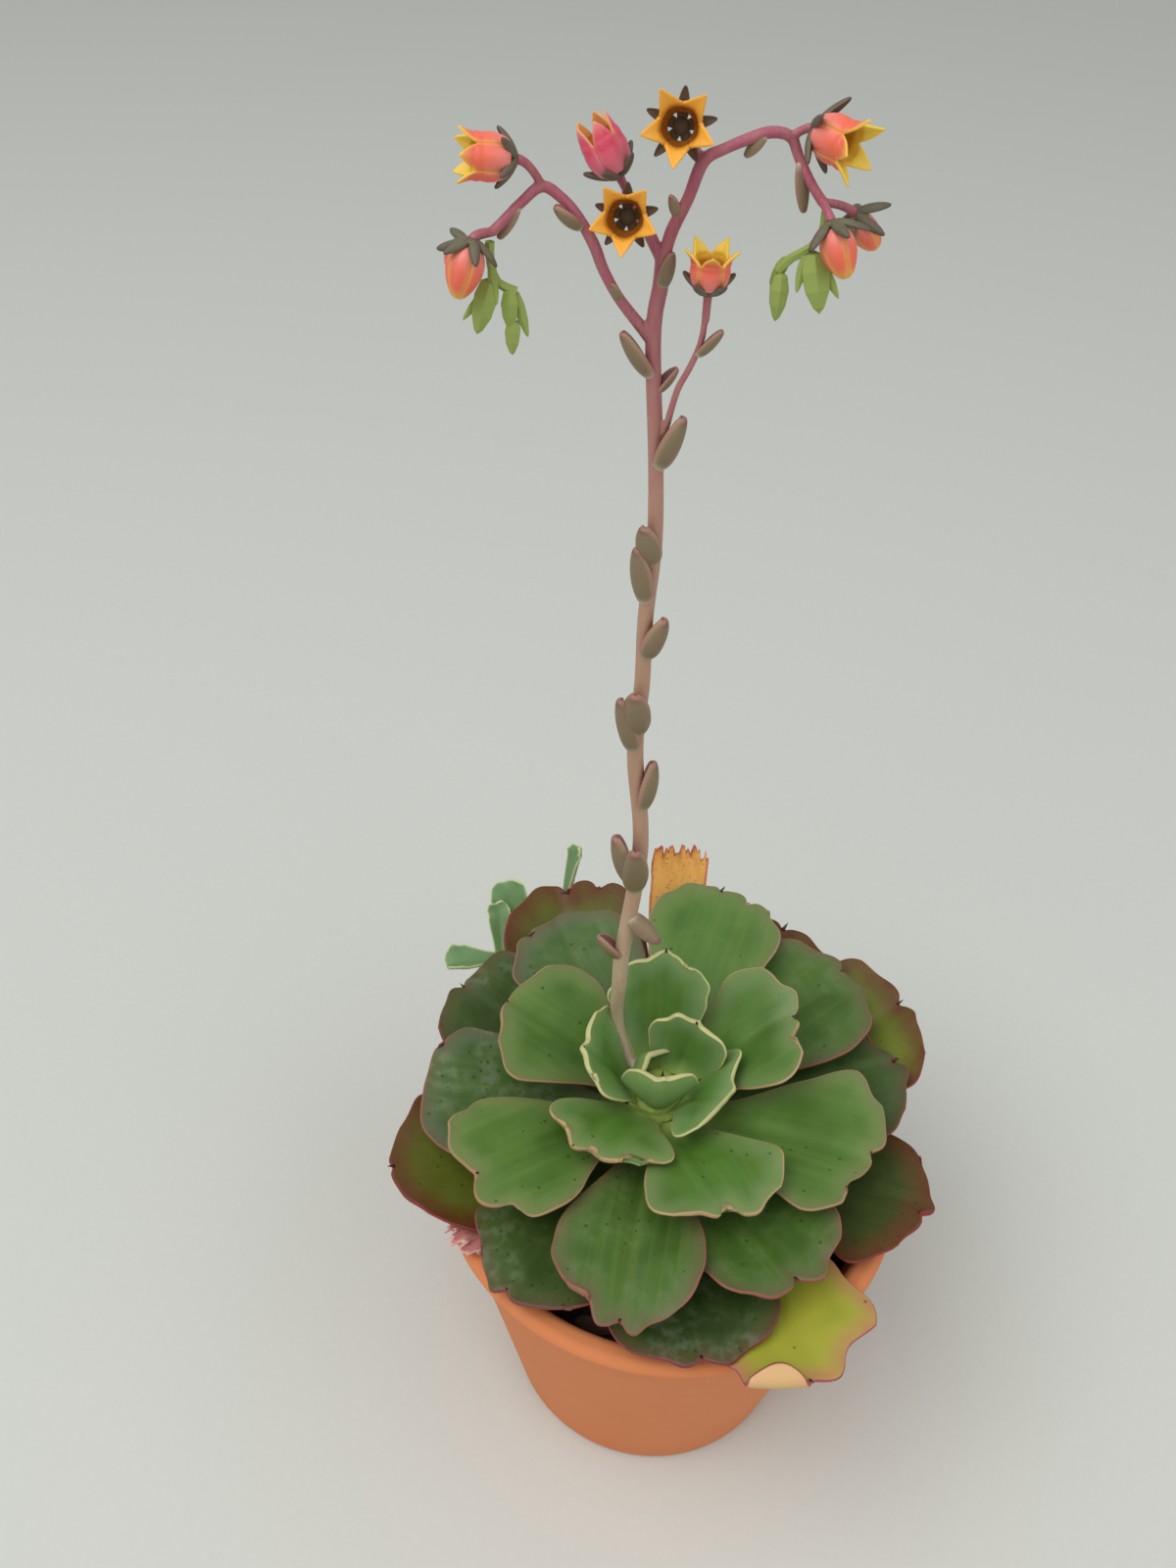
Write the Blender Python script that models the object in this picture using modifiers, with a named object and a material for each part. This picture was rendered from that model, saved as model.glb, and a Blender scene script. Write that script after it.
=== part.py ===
"""A flowering echeveria in a terracotta pot, in metres with +Z up.

The origin is the centre of the pot's base. The plant's front, with the yellow leaf, faces -Y.
Sizes below are in millimetres, and MM turns them to metres where a mesh is made.
"""

import math
from collections import namedtuple

import bmesh
import bpy
from mathutils import Matrix, Vector, noise

MM = 0.001
GAP = 0.3
MERGE = 0.00001
UNION_SOLVER = "EXACT"

# The pot: a turned 12 cm pot with a straight taper, a lip that swells out, and drain holes.
RIM_RADIUS = 60.0
POT_HEIGHT = 91.6
BASE_RADIUS = 39.5
LIP_SWELL = 2.4
LIP_HEIGHT = 7.0
LIP_ROUND = 2.6
WALL = 4.0
FLOOR = 5.0
TURN_STEPS = 44
DRAIN_RADIUS = 4.0
DRAIN_RING = 20.0
DRAIN_COUNT = 4

# The soil and the short thick stem that stands in it, a little off the pot's centre.
SOIL_TOP = 80.0
SOIL_LUMP = 1.1
LUMP_SIZE = 9.0
STEM_X = -4.0
STEM_Y = 9.0
STEM_RADIUS = 7.0
STEM_FOOT = 68.0
STEM_SHOULDER = 104.0
STEM_TOP = 112.0
STEM_SIDES = 16

# The rosette's leaves: what all of them share.
LOWEST_SEAT = 86.0
HIGHEST_SEAT = 110.5
LEAF_FLESH = 2.6
LEAF_EDGE_SHARE = 0.35
SHAFT_ROWS = 0.62
LEAF_GRID = (6, 6)
HEART_GRID = (4, 6)
HEART_WIDTH = 30.0

# A leaf: the compass angle and the distance of its tip from the stem, the tip's height,
# its width, the slope at which it leaves the stem, then its waist, its roll, the rise of
# its margins, the height of its edge waves, how round its end is (0 blunt to 1 round),
# and the turn from its tip's compass angle to its root's.
Leaf = namedtuple("Leaf", "name azimuth reach tip width slope waist roll cup wave round turn")
Leaf.__new__.__defaults__ = (9, 0, 1.0, 1.0, 0.6, 0)

# From the outermost leaf to the heart, in the order in which they leave the stem.
LEAVES = [
    Leaf("leaf_outer_yellow", 299, 77.5, 97, 42, 13, cup=0, wave=0.8, round=0.0),
    Leaf("leaf_outer_back_right", 27, 78, 104, 42, 8, waist=7),
    Leaf("leaf_outer_back_left", 114, 74, 111, 42, 11, round=0.8),
    Leaf("leaf_outer_right", 339.5, 74, 98, 38, 10, waist=7, round=0.8, turn=-6),
    Leaf("leaf_outer_left", 200, 70, 98, 38, 8, round=0.8),
    Leaf("leaf_outer_back", 57, 71, 107, 40, 10),
    Leaf("leaf_outer_front", 279, 70, 98, 42, 12),
    Leaf("leaf_low_left", 149, 64, 106, 41, 12),
    Leaf("leaf_low_right", 12, 67, 105, 40, 13),
    Leaf("leaf_low_front_left", 239, 66, 99, 38, 14),
    Leaf("leaf_mid_front_right", 302, 63, 108, 38, 18, cup=2),
    Leaf("leaf_mid_left", 185, 61, 107, 41, 18, cup=2),
    Leaf("leaf_mid_back_right", 36, 65, 112, 41, 20, cup=2),
    Leaf("leaf_mid_front", 262, 68, 109, 36, 24, cup=2, round=1.0),
    Leaf("leaf_mid_back_left", 119, 60, 113, 38, 24, cup=2),
    Leaf("leaf_upper_right", 336, 58, 113, 41, 28, cup=2, round=0.3),
    Leaf("leaf_upper_left", 217, 56, 114, 37, 28, cup=2, wave=1.5, round=0.2),
    Leaf("leaf_mid_back", 72, 65, 119, 37, 28, cup=2),
    Leaf("leaf_inner_front_right", 291, 46, 119, 34, 36, cup=2, wave=1.2, round=0.2),
    Leaf("leaf_upper_back_left", 156, 44, 119, 38, 36, cup=3),
    Leaf("leaf_inner_right", 19, 36, 128, 35, 45, cup=3, round=0.4),
    Leaf("leaf_inner_left", 241, 33, 119, 34, 46, cup=1, round=0.0),
    Leaf("leaf_heart_back", 91, 22, 135, 24, 60, waist=8, cup=3, wave=0.6),
    Leaf("leaf_heart_right", 326, 19, 120, 27, 60, waist=8, roll=-10, cup=1, wave=0.5, round=0.1),
    Leaf("leaf_heart_left", 187, 19.5, 127, 24, 60, waist=6, roll=10, cup=2, wave=0.5, round=0.3),
    Leaf("leaf_heart_upright", 34, 9, 128, 23, 70, waist=6, cup=2, wave=0.3, round=0.1),
    Leaf("leaf_heart_front", 270, 6.5, 122, 19, 70, waist=6, cup=2, wave=0.3, round=0.2),
    Leaf("leaf_heart_core", 140, 2.5, 118, 15, 75, waist=5, cup=3, wave=0.2, round=0.3),
]


def clear_scene():
    for obj in list(bpy.data.objects):
        bpy.data.objects.remove(obj, do_unlink=True)


def collection_named(name, hidden=False):
    group = bpy.data.collections.new(name)
    bpy.context.scene.collection.children.link(group)
    group.hide_render = hidden
    return group


def finish(name, colour, roughness):
    """A matte or waxy surface of one colour, given as sRGB values of 0 to 1."""
    material = bpy.data.materials.new(name)
    material.use_nodes = True
    shader = material.node_tree.nodes["Principled BSDF"]
    linear = [((c + 0.055) / 1.055) ** 2.4 if c > 0.04 else c / 12.92 for c in colour]
    shader.inputs["Base Color"].default_value = (*linear, 1.0)
    shader.inputs["Roughness"].default_value = roughness
    shader.inputs["Metallic"].default_value = 0.0
    material.diffuse_color = (*linear, 1.0)
    return material


def object_from(bm, name, material, group):
    """Closes a bmesh drawn in millimetres and puts it in the scene in metres."""
    bmesh.ops.scale(bm, vec=(MM, MM, MM), verts=bm.verts)
    mesh = bpy.data.meshes.new(name)
    bm.to_mesh(mesh)
    bm.free()
    mesh.materials.append(material)
    obj = bpy.data.objects.new(name, mesh)
    group.objects.link(obj)
    return obj


def smooth_step(x):
    x = min(max(x, 0.0), 1.0)
    return x * x * (3 - 2 * x)


def turned(name, profile, steps, material, group):
    """A profile of (radius, height) points in millimetres, turned about the Z axis."""
    bm = bmesh.new()
    ring = [bm.verts.new((radius, 0, height)) for radius, height in profile]
    for lower, upper in zip(ring, ring[1:]):
        bm.edges.new((lower, upper))
    obj = object_from(bm, name, material, group)
    screw = obj.modifiers.new("Turn", "SCREW")
    screw.steps = steps
    screw.render_steps = steps
    screw.use_merge_vertices = True
    screw.merge_threshold = 0.0001
    screw.use_smooth_shade = True
    return obj


def taper_radius(height):
    """The radius of the pot's plain taper, which the inside keeps up to the lip."""
    return BASE_RADIUS + (RIM_RADIUS - LIP_SWELL - BASE_RADIUS) * height / POT_HEIGHT


def inside_profile(start, stop, inset, count):
    heights = [start + (stop - start) * i / count for i in range(count + 1)]
    return [(taper_radius(height) - WALL - inset, height) for height in heights]


def outside_profile(start, stop, count):
    """The outer side from the lip down: the taper, with the lip's swelling on it."""
    points = []
    for i in range(count + 1):
        height = start + (stop - start) * i / count
        swell = LIP_SWELL * smooth_step((height - POT_HEIGHT + LIP_HEIGHT) / (LIP_HEIGHT - LIP_ROUND))
        points.append((taper_radius(height) + swell, height))
    return points


def lip_profile():
    """The lip's top: a quarter round inside, a flat, and a quarter round outside."""
    inner = taper_radius(POT_HEIGHT) - WALL + LIP_ROUND
    outer = RIM_RADIUS - LIP_ROUND
    middle = POT_HEIGHT - LIP_ROUND
    points = []
    for centre, angles in ((inner, (180, 140, 90)), (outer, (90, 55, 25, 0))):
        for angle in map(math.radians, angles):
            points.append((centre + LIP_ROUND * math.cos(angle), middle + LIP_ROUND * math.sin(angle)))
    return points


def make_pot(group, cutters):
    lip_foot = POT_HEIGHT - LIP_HEIGHT
    profile = [(0, FLOOR), (BASE_RADIUS - WALL, FLOOR)]
    profile += inside_profile(FLOOR + 3, lip_foot, 0, 2)
    profile += lip_profile()
    profile += outside_profile(POT_HEIGHT - LIP_ROUND - 1, lip_foot, 3)
    profile += [(taper_radius(height), height) for height in (55, 28, 1.5)]
    profile += [(BASE_RADIUS - 1.5, 0), (0, 0)]
    pot = turned("pot", profile, TURN_STEPS, finish("fired clay", (0.80, 0.45, 0.27), 0.75), group)
    for number in range(DRAIN_COUNT):
        angle = math.radians(45 + 360 / DRAIN_COUNT * number)
        x, y = DRAIN_RING * math.cos(angle), DRAIN_RING * math.sin(angle)
        hole = upright_cutter(f"drain_{number}", x, y, DRAIN_RADIUS, -4, FLOOR + 4, cutters)
        cut_away(pot, hole)
    return pot


def cut_away(obj, cutter):
    cut = obj.modifiers.new(cutter.name, "BOOLEAN")
    cut.operation = "DIFFERENCE"
    cut.object = cutter


def upright_cutter(name, x, y, radius, bottom, top, cutters):
    bm = bmesh.new()
    bmesh.ops.create_cone(bm, cap_ends=True, segments=STEM_SIDES, radius1=radius, radius2=radius, depth=top - bottom)
    bmesh.ops.translate(bm, vec=(x, y, (top + bottom) / 2), verts=bm.verts)
    cutter = object_from(bm, name, finish(name, (0.5, 0.5, 0.5), 0.5), cutters)
    cutter.hide_render = True
    cutter.display_type = "WIRE"
    return cutter


def make_soil(group, cutters):
    """The potting soil fills the pot to a lumpy top, with a plain hole for each stem."""
    top_rings = 5
    edge = taper_radius(SOIL_TOP) - WALL - GAP
    profile = [(edge * i / top_rings, SOIL_TOP) for i in range(top_rings)]
    profile += inside_profile(SOIL_TOP, FLOOR + 3, GAP, 2)
    profile += [(BASE_RADIUS - WALL - GAP, FLOOR + GAP), (0, FLOOR + GAP)]
    soil = turned("soil", profile, TURN_STEPS, finish("potting soil", (0.16, 0.12, 0.09), 0.95), group)
    apply_modifiers(soil)
    for vertex in soil.data.vertices:
        x, y, z = vertex.co / MM
        if z > SOIL_TOP - 0.1 and math.hypot(x, y) < edge - 1:
            lump = noise.noise(Vector((x, y, 0)) / LUMP_SIZE)
            vertex.co.z += SOIL_LUMP * lump * MM
    holes = [("stem", STEM_X, STEM_Y, STEM_RADIUS, STEM_FOOT)]
    holes += [(pup.name, *pup.route[0][:2], pup.route[0][3] + 0.9, pup.route[0][2]) for pup in PUPS]
    for name, x, y, radius, foot in holes:
        hole = upright_cutter(name + "_hole", x, y, radius + GAP, foot - GAP, SOIL_TOP + 10, cutters)
        cut_away(soil, hole)
    return soil


def apply_modifiers(obj):
    """Replaces an object's mesh with the shape that its modifiers give."""
    graph = bpy.context.evaluated_depsgraph_get()
    mesh = bpy.data.meshes.new_from_object(obj.evaluated_get(graph))
    mesh.name = obj.name
    obj.modifiers.clear()
    obj.data = mesh


def stem_radius(height):
    """The short stem is a column with a domed top."""
    if height <= STEM_SHOULDER:
        return STEM_RADIUS
    share = (height - STEM_SHOULDER) / (STEM_TOP - STEM_SHOULDER)
    return STEM_RADIUS * math.sqrt(max(1 - share * share, 0))


def make_stem(group):
    dome = [STEM_SHOULDER + (STEM_TOP - STEM_SHOULDER) * s for s in (1, 0.93, 0.75, 0.45, 0)]
    profile = [(stem_radius(height), height) for height in dome]
    profile += [(STEM_RADIUS, STEM_FOOT), (0, STEM_FOOT)]
    stem = turned("stem", profile, STEM_SIDES, finish("old stem", (0.42, 0.36, 0.26), 0.85), group)
    stem.location = (STEM_X * MM, STEM_Y * MM, 0)
    return stem


def compass(angle):
    """The level direction at an angle in degrees, from +X towards +Y."""
    return Vector((math.cos(math.radians(angle)), math.sin(math.radians(angle)), 0))


def seat_height(index):
    return LOWEST_SEAT + (HIGHEST_SEAT - LOWEST_SEAT) * index / (len(LEAVES) - 1)


class Blade:
    """The upper face of one leaf, as a surface over its length and width."""

    def __init__(self, leaf, seat, number, stem=(STEM_X, STEM_Y), clear=None):
        self.leaf = leaf
        self.phase = number * 2.4
        out = compass(leaf.azimuth)
        slope = math.radians(leaf.slope)
        if clear is None:
            clear = stem_radius(seat) + GAP
        self.root = Vector((*stem, seat)) + compass(leaf.azimuth + leaf.turn) * clear
        self.end = Vector((*stem, leaf.tip)) + out * leaf.reach
        chord = (self.end - self.root).length
        self.middle = self.root + (out * math.cos(slope) + Vector((0, 0, math.sin(slope)))) * chord * 0.5
        self.side = out.cross(Vector((0, 0, 1)))
        self.length = chord * 1.03
        self.cap = leaf.width * (0.22 + 0.28 * leaf.round)
        self.blunt = 0.6 + 0.4 * leaf.round

    def midrib(self, share):
        """The point and the direction of the midrib, a curve of three control points."""
        rest = 1 - share
        point = self.root * rest * rest + self.middle * 2 * share * rest + self.end * share * share
        heading = (self.middle - self.root) * rest + (self.end - self.middle) * share
        return point, heading.normalized()

    def outline(self, along, across):
        """Millimetres along the midrib and sideways from it: a waist that flares to a round end."""
        leaf = self.leaf
        shaft = self.length - self.cap
        if along < SHAFT_ROWS:
            share = along / SHAFT_ROWS
            half = leaf.waist / 2 + (leaf.width - leaf.waist) / 2 * smooth_step(share ** 1.2)
            return shaft * share, half * across
        share = (along - SHAFT_ROWS) / (1 - SHAFT_ROWS)
        ahead = shaft + self.cap * share * math.sqrt(1 - self.blunt * across * across / 2)
        return ahead, leaf.width / 2 * across * math.sqrt(1 - self.blunt * share * share / 2)

    def point(self, along, across):
        leaf = self.leaf
        ahead, aside = self.outline(along, across)
        share = ahead / self.length
        spot, heading = self.midrib(share)
        up = self.side.cross(heading)
        roll = math.radians(leaf.roll) * smooth_step(share)
        side = self.side * math.cos(roll) + up * math.sin(roll)
        up = up * math.cos(roll) - self.side * math.sin(roll)
        spread = abs(aside) / (leaf.width / 2)
        beat = math.sin(2 * math.pi * (1.6 * share + 0.25 * across) + self.phase)
        wave = leaf.wave * beat * across * across * smooth_step(share * 1.5 - 0.3)
        return spot + side * aside + up * (leaf.cup * spread * spread + wave)


def fleshy_leaf(blade, material, group, thickness=LEAF_FLESH, grid=None):
    """A leaf's body: its upper face, thickened downwards and thinner towards the margins."""
    leaf = blade.leaf
    across_count, along_count = grid or (HEART_GRID if leaf.width < HEART_WIDTH else LEAF_GRID)
    bm = bmesh.new()
    bmesh.ops.create_grid(bm, x_segments=across_count, y_segments=along_count, size=1)
    flesh = {}
    for vertex in bm.verts:
        across, along = vertex.co.x, (vertex.co.y + 1) / 2
        flesh[vertex.index] = (1 - abs(across) ** 2.5) * (1 - 0.6 * along ** 3)
        vertex.co = blade.point(along, across)
    bmesh.ops.triangulate(bm, faces=bm.faces)
    obj = object_from(bm, leaf.name, material, group)
    weights = obj.vertex_groups.new(name="flesh")
    for index, weight in flesh.items():
        weights.add([index], weight, "REPLACE")
    solid = obj.modifiers.new("Flesh", "SOLIDIFY")
    solid.thickness = thickness * MM
    solid.offset = -1
    solid.vertex_group = "flesh"
    solid.thickness_vertex_group = LEAF_EDGE_SHARE
    return obj


def apply_as_mesh(obj):
    """Turns an object that modifiers or a curve shape into a plain closed mesh."""
    graph = bpy.context.evaluated_depsgraph_get()
    mesh = bpy.data.meshes.new_from_object(obj.evaluated_get(graph))
    bm = bmesh.new()
    bm.from_mesh(mesh)
    bmesh.ops.remove_doubles(bm, verts=bm.verts, dist=MERGE)
    bm.to_mesh(mesh)
    bm.free()
    return mesh


def smooth_route(points, step):
    """Points about a step apart on a smooth curve through hand-placed (x, y, z, radius) points."""
    points = [Vector(point) for point in points]
    ends = [points[0] * 2 - points[1]] + points + [points[-1] * 2 - points[-2]]
    route = []
    for before, start, stop, after in zip(ends, ends[1:], ends[2:], ends[3:]):
        count = max(1, round((stop - start).length / step))
        for i in range(count):
            t = i / count
            bend = (before * -1 + start * 3 - stop * 3 + after) * t ** 3
            bend += (before * 2 - start * 5 + stop * 4 - after) * t ** 2
            route.append((start * 2 + (stop - before) * t + bend) / 2)
    return route + [points[-1]]


def tube(name, route, material, group, fineness=2):
    """A round stem along a route of (x, y, z, radius) points in millimetres."""
    curve = bpy.data.curves.new(name, "CURVE")
    curve.dimensions = "3D"
    curve.bevel_depth = MM
    curve.bevel_resolution = fineness
    curve.use_fill_caps = True
    spline = curve.splines.new("POLY")
    spline.points.add(len(route) - 1)
    for point, (x, y, z, radius) in zip(spline.points, route):
        point.co = (x * MM, y * MM, z * MM, 1)
        point.radius = radius
    drawn = bpy.data.objects.new(name + "_line", curve)
    group.objects.link(drawn)
    mesh = apply_as_mesh(drawn)
    bpy.data.objects.remove(drawn, do_unlink=True)
    mesh.name = name
    mesh.materials.clear()
    mesh.materials.append(material)
    obj = bpy.data.objects.new(name, mesh)
    group.objects.link(obj)
    return obj


def fuse(body, pieces):
    """Joins the pieces to the body, as one closed solid."""
    joined = bpy.data.collections.new("pieces of " + body.name)
    for piece in pieces:
        joined.objects.link(piece)
    union = body.modifiers.new("Grown together", "BOOLEAN")
    union.operation = "UNION"
    union.operand_type = "COLLECTION"
    union.collection = joined
    union.solver = UNION_SOLVER
    bpy.context.view_layer.update()
    apply_modifiers(body)
    for piece in list(joined.objects):
        bpy.data.objects.remove(piece, do_unlink=True)
    bpy.data.collections.remove(joined)
    return body


def fleshy_scale(name, root, heading, face, size, material, group, curl=0.0, sides=6, rings=5):
    """A bract or sepal: a pointed lens from its root along its heading, its inner side to face.

    The size is its length, width and thickness, and curl moves its tip towards face.
    """
    length, width, thickness = size
    heading = heading.normalized()
    side = face.cross(heading).normalized()
    face = heading.cross(side)
    bm = bmesh.new()
    bmesh.ops.create_uvsphere(bm, u_segments=sides, v_segments=rings, radius=1)
    for vertex in bm.verts:
        share = (vertex.co.z + 1) / 2
        around = Vector((vertex.co.x, vertex.co.y))
        if around.length > 0.001:
            around.normalize()
        swell = 1.75 * share ** 0.45 * (1 - share) ** 0.7
        lift = curl * share * share
        offset = side * around.x * swell * width / 2 + face * (around.y * swell * thickness / 2 + lift)
        vertex.co = root + heading * share * length + offset
    return object_from(bm, name, material, group)


# The flower stalk, its branches and the flowers' own stalks, as (x, y, z, radius) points.
ROUTES = {
    "stalk": [
        (-9.2, 14.8, 107.5, 1.4),
        (-11.6, 17.2, 109.5, 1.5),
        (-14.2, 19.4, 116, 1.6),
        (-15.6, 19.9, 125, 1.7),
        (-15.6, 17.8, 139, 1.95),
        (-15.4, 17.7, 151, 1.95),
        (-13.2, 18.6, 178, 1.9),
        (-13.4, 19.0, 192, 1.85),
        (-15.6, 19.5, 210, 1.85),
        (-15.9, 19.8, 221, 1.8),
        (-15.4, 20.2, 232, 1.7),
        (-15.7, 20.7, 248, 1.65),
        (-15.0, 21.6, 265, 1.6),
        (-15.8, 22.0, 282, 1.5),
        (-17.9, 23.2, 307, 1.45),
        (-17.2, 23.8, 317, 1.45),
        (-17.2, 24.0, 323, 1.3),
    ],
    "right_branch": [
        (-17.2, 23.9, 320, 1.1),
        (-16.0, 23.5, 326, 1.15),
        (-13.8, 22, 332, 1.05),
        (-11.8, 21, 338.6, 1.1),
        (-8.7, 22, 340.3, 0.95),
        (-3.9, 24, 341.8, 1.0),
        (-0.8, 25, 342.4, 1.0),
        (2.4, 25.6, 341.6, 0.95),
        (4.2, 25, 338.4, 0.9),
        (6.4, 23, 335.2, 0.85),
        (8.7, 21.6, 332.5, 0.9),
    ],
    "left_branch": [
        (-17.9, 23.2, 306, 1.0),
        (-19.8, 23.0, 308.6, 1.1),
        (-24.3, 22.2, 314.4, 1.0),
        (-27.2, 22, 319.3, 1.0),
        (-29.1, 22, 323.8, 1.05),
        (-32.1, 23, 328.2, 0.95),
        (-34.8, 24, 330.6, 0.95),
        (-38.1, 24, 332.4, 1.0),
        (-41.3, 22, 330.4, 0.9),
        (-44.4, 20, 327.7, 0.9),
        (-46.2, 19.2, 326.1, 0.9),
    ],
    "middle_branch": [
        (-17.2, 24, 320.5, 1.0),
        (-19.6, 25.2, 324.6, 1.1),
        (-22.2, 27, 328.5, 0.9),
        (-24.2, 26.8, 331.4, 0.8),
    ],
    "side_stem": [
        (-16.1, 22.2, 287, 0.7),
        (-14.6, 21.6, 290.3, 0.7),
        (-13.8, 20.4, 295, 0.65),
        (-12.9, 19.6, 299.5, 0.65),
        (-11.2, 19, 303.8, 0.62),
        (-9.7, 19, 308.4, 0.6),
        (-9.2, 19, 313.5, 0.6),
    ],
}

# A bract: the stem it grows from, where along it (a height on the stalk, or x on a branch),
# the compass angle and the rise of its direction in degrees, its length and its width.
Bract = namedtuple("Bract", "stem place azimuth rise length width")
BRACTS = [
    Bract("stalk", 149, 192, 50, 10, 5),
    Bract("stalk", 163, 328, -24, 10, 5),
    Bract("stalk", 174, 196, 69, 17, 7),
    Bract("stalk", 172, 262, 71, 18, 6.5),
    Bract("stalk", 197, 352, 79, 14.5, 6),
    Bract("stalk", 214, 206, 72, 16, 6),
    Bract("stalk", 219, 255, 71, 13.5, 6.5),
    Bract("stalk", 239, 330, 67, 11.5, 6),
    Bract("stalk", 252, 208, 75, 14, 5.5),
    Bract("stalk", 261, 232, 68, 10.5, 5.5),
    Bract("stalk", 282, 335, 66, 12.5, 5.5),
    Bract("stalk", 297, 13, 45, 6, 3),
    Bract("stalk", 300, 196, 52, 11, 4.5),
    Bract("stalk", 316, 332, 73, 7, 3.5),
    Bract("side_stem", -10.4, 340, 48, 7, 3),
    Bract("left_branch", -24.1, 217, 57, 4, 2.2),
    Bract("left_branch", -31.0, 204, 34, 6.5, 3.6),
    Bract("left_branch", -41.5, 196, -55, 7, 3),
    Bract("right_branch", -15.0, 214, 62, 4.5, 2.4),
    Bract("right_branch", -1.6, 196, -44, 5, 2.6),
    Bract("right_branch", 4.1, 340, -76, 9, 3.2),
]

# A flower or coloured bud: the point of the stem that its own stalk leaves, the foot of its
# calyx, the compass angle and rise of its axis in degrees, then its corolla's length, its
# radius and that of its open mouth (0 for a bud), its sepals' length and its turn in degrees.
Bloom = namedtuple("Bloom", "name joint foot azimuth rise length radius mouth sepal turn")
BLOOMS = [
    Bloom("left", (-38.1, 24, 332.4), (-42.0, 22.0, 337.3), 191, 5, 8.8, 3.1, 4.4, 5.5, 90),
    Bloom("left_bud", (-46.0, 19.2, 326.2), (-49.0, 16.4, 326.2), 218, -70, 8.6, 3.4, 0, 5.5, 54),
    Bloom("left_bud_behind", (-46.0, 19.2, 326.2), (-50.6, 23.4, 322.6), 133, -50, 6.2, 2.6, 0, 5.0, 60),
    Bloom("pink", (-24.0, 26.8, 331.4), (-25.2, 25.2, 334.0), 182, 59, 9.0, 3.0, 2.5, 5.6, 18),
    Bloom("top", (-11.8, 21, 338.6), (-15.7, 22.6, 343.4), 265, 17, 8.4, 3.0, 6.2, 6.5, 123),
    Bloom("middle", (-19.6, 25.2, 324.6), (-23.6, 22.3, 328.7), 265, 17, 8.4, 3.0, 5.8, 6.0, 127),
    Bloom("right", (2.4, 25.6, 341.6), (5.6, 25, 343.4), 321, -8, 9.2, 3.1, 5.5, 7.0, 100),
    Bloom("right_bud", (8.5, 21.7, 332.7), (9.7, 17.8, 331.4), 313, -58, 8.0, 3.1, 0, 6.2, 80),
    Bloom("right_bud_behind", (8.5, 21.7, 332.7), (14.2, 24.8, 330.2), 22, -50, 7.2, 2.4, 0, 6.4, 60),
    Bloom("side", (-9.2, 19, 312.5), (-9.2, 19, 317.2), 270, 88, 7.2, 2.7, 4.9, 5.2, 54),
]
RECEPTACLE = 1.4
PETALS = 5
PETAL_THICKNESS = 0.65
SPLIT = 0.6
FLARE_START = 0.48

# A cluster of green buds: its curved axis, then each bud's or bract's root, tip and width.
CLUSTERS = {
    "green_buds_left": (
        [(-46.5, 19.0, 324.6, 0.9), (-46.4, 19, 321, 0.8), (-45.2, 19, 317.6, 0.8), (-42.0, 19, 316.2, 0.8)],
        [
            ((-46.4, 18.8, 318.6), (-48.7, 16.6, 309.2), 5.8),
            ((-43.2, 18.8, 317.0), (-43.0, 18, 309.6), 4.2),
            ((-42.6, 18.6, 311.6), (-42.6, 17.4, 305.3), 3.8),
            ((-42.4, 19, 316.6), (-39.9, 18.6, 308.1), 2.8),
            ((-46.4, 18.6, 320.6), (-45.2, 16.6, 314.6), 2.4),
            ((-46.6, 18.4, 317.4), (-51.2, 17, 311.4), 2.2),
        ],
    ),
    "green_buds_right": (
        [(9.3, 22.3, 331.0, 0.8), (9.2, 21.8, 328, 0.8), (7.4, 20.4, 325.6, 0.8), (4.4, 20.2, 323.8, 0.8), (2.4, 20.4, 321.4, 0.8)],
        [
            ((7.9, 20.0, 325.4), (9.8, 16.0, 316.0), 6.6),
            ((3.0, 20.2, 321.4), (2.8, 19, 313.0), 4.5),
            ((3.8, 20.4, 324.0), (1.4, 21.2, 318.4), 3.0),
            ((8.6, 19.0, 324.8), (12.8, 16.6, 318.5), 2.6),
            ((6.6, 19.8, 324.8), (5.6, 17.4, 318.8), 2.4),
        ],
    ),
}

# An offset: its stem's route out from the soil over the rim, and its leaves.
Pup = namedtuple("Pup", "name route leaves")
PUP_GRID = (4, 4)
PUPS = [
    Pup(
        "pup_left",
        [(-29, 34, 74, 1.7), (-29.6, 34.8, 86, 1.7), (-33, 39, 93.4, 1.7), (-40, 48, 95.8, 1.7), (-48.4, 61, 97, 2.4)],
        [
            Leaf("behind", 86, 18, 111, 11, 8, waist=4, cup=1),
            Leaf("front", 100, 12, 108, 7, 40, waist=4, cup=1, round=1.0),
            Leaf("outward", 192, 17, 97, 9, 5, waist=4, cup=2.5, round=1.0),
        ],
    ),
    Pup(
        "pup_back",
        [(-17, 38, 74, 1.4), (-17.6, 39.6, 85, 1.4), (-20.4, 47.4, 92, 1.3), (-23.4, 57, 94.6, 1.3), (-31.5, 82, 98.5, 1.8)],
        [Leaf("upright", 30, 4.5, 121, 5.5, 86, waist=3, cup=1, round=1.0)],
    ),
]

# Withered leaves still on the stem, below the lowest living ones, and one lying on the soil.
WITHERED_THICKNESS = 1.2
WITHERED = [
    (84.5, Leaf("withered_back", 85, 74, 123, 16.5, -1, waist=5, cup=1, wave=1.2, round=0.1)),
    (83.5, Leaf("withered_left", 219, 63, 95, 12, 12, waist=6, cup=0, wave=0.6)),
]


def make_stalk_stem(name, material, group):
    fineness = 2 if name == "stalk" else 1
    return tube(name, smooth_route(ROUTES[name], 5.0), material, group, fineness)


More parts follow.
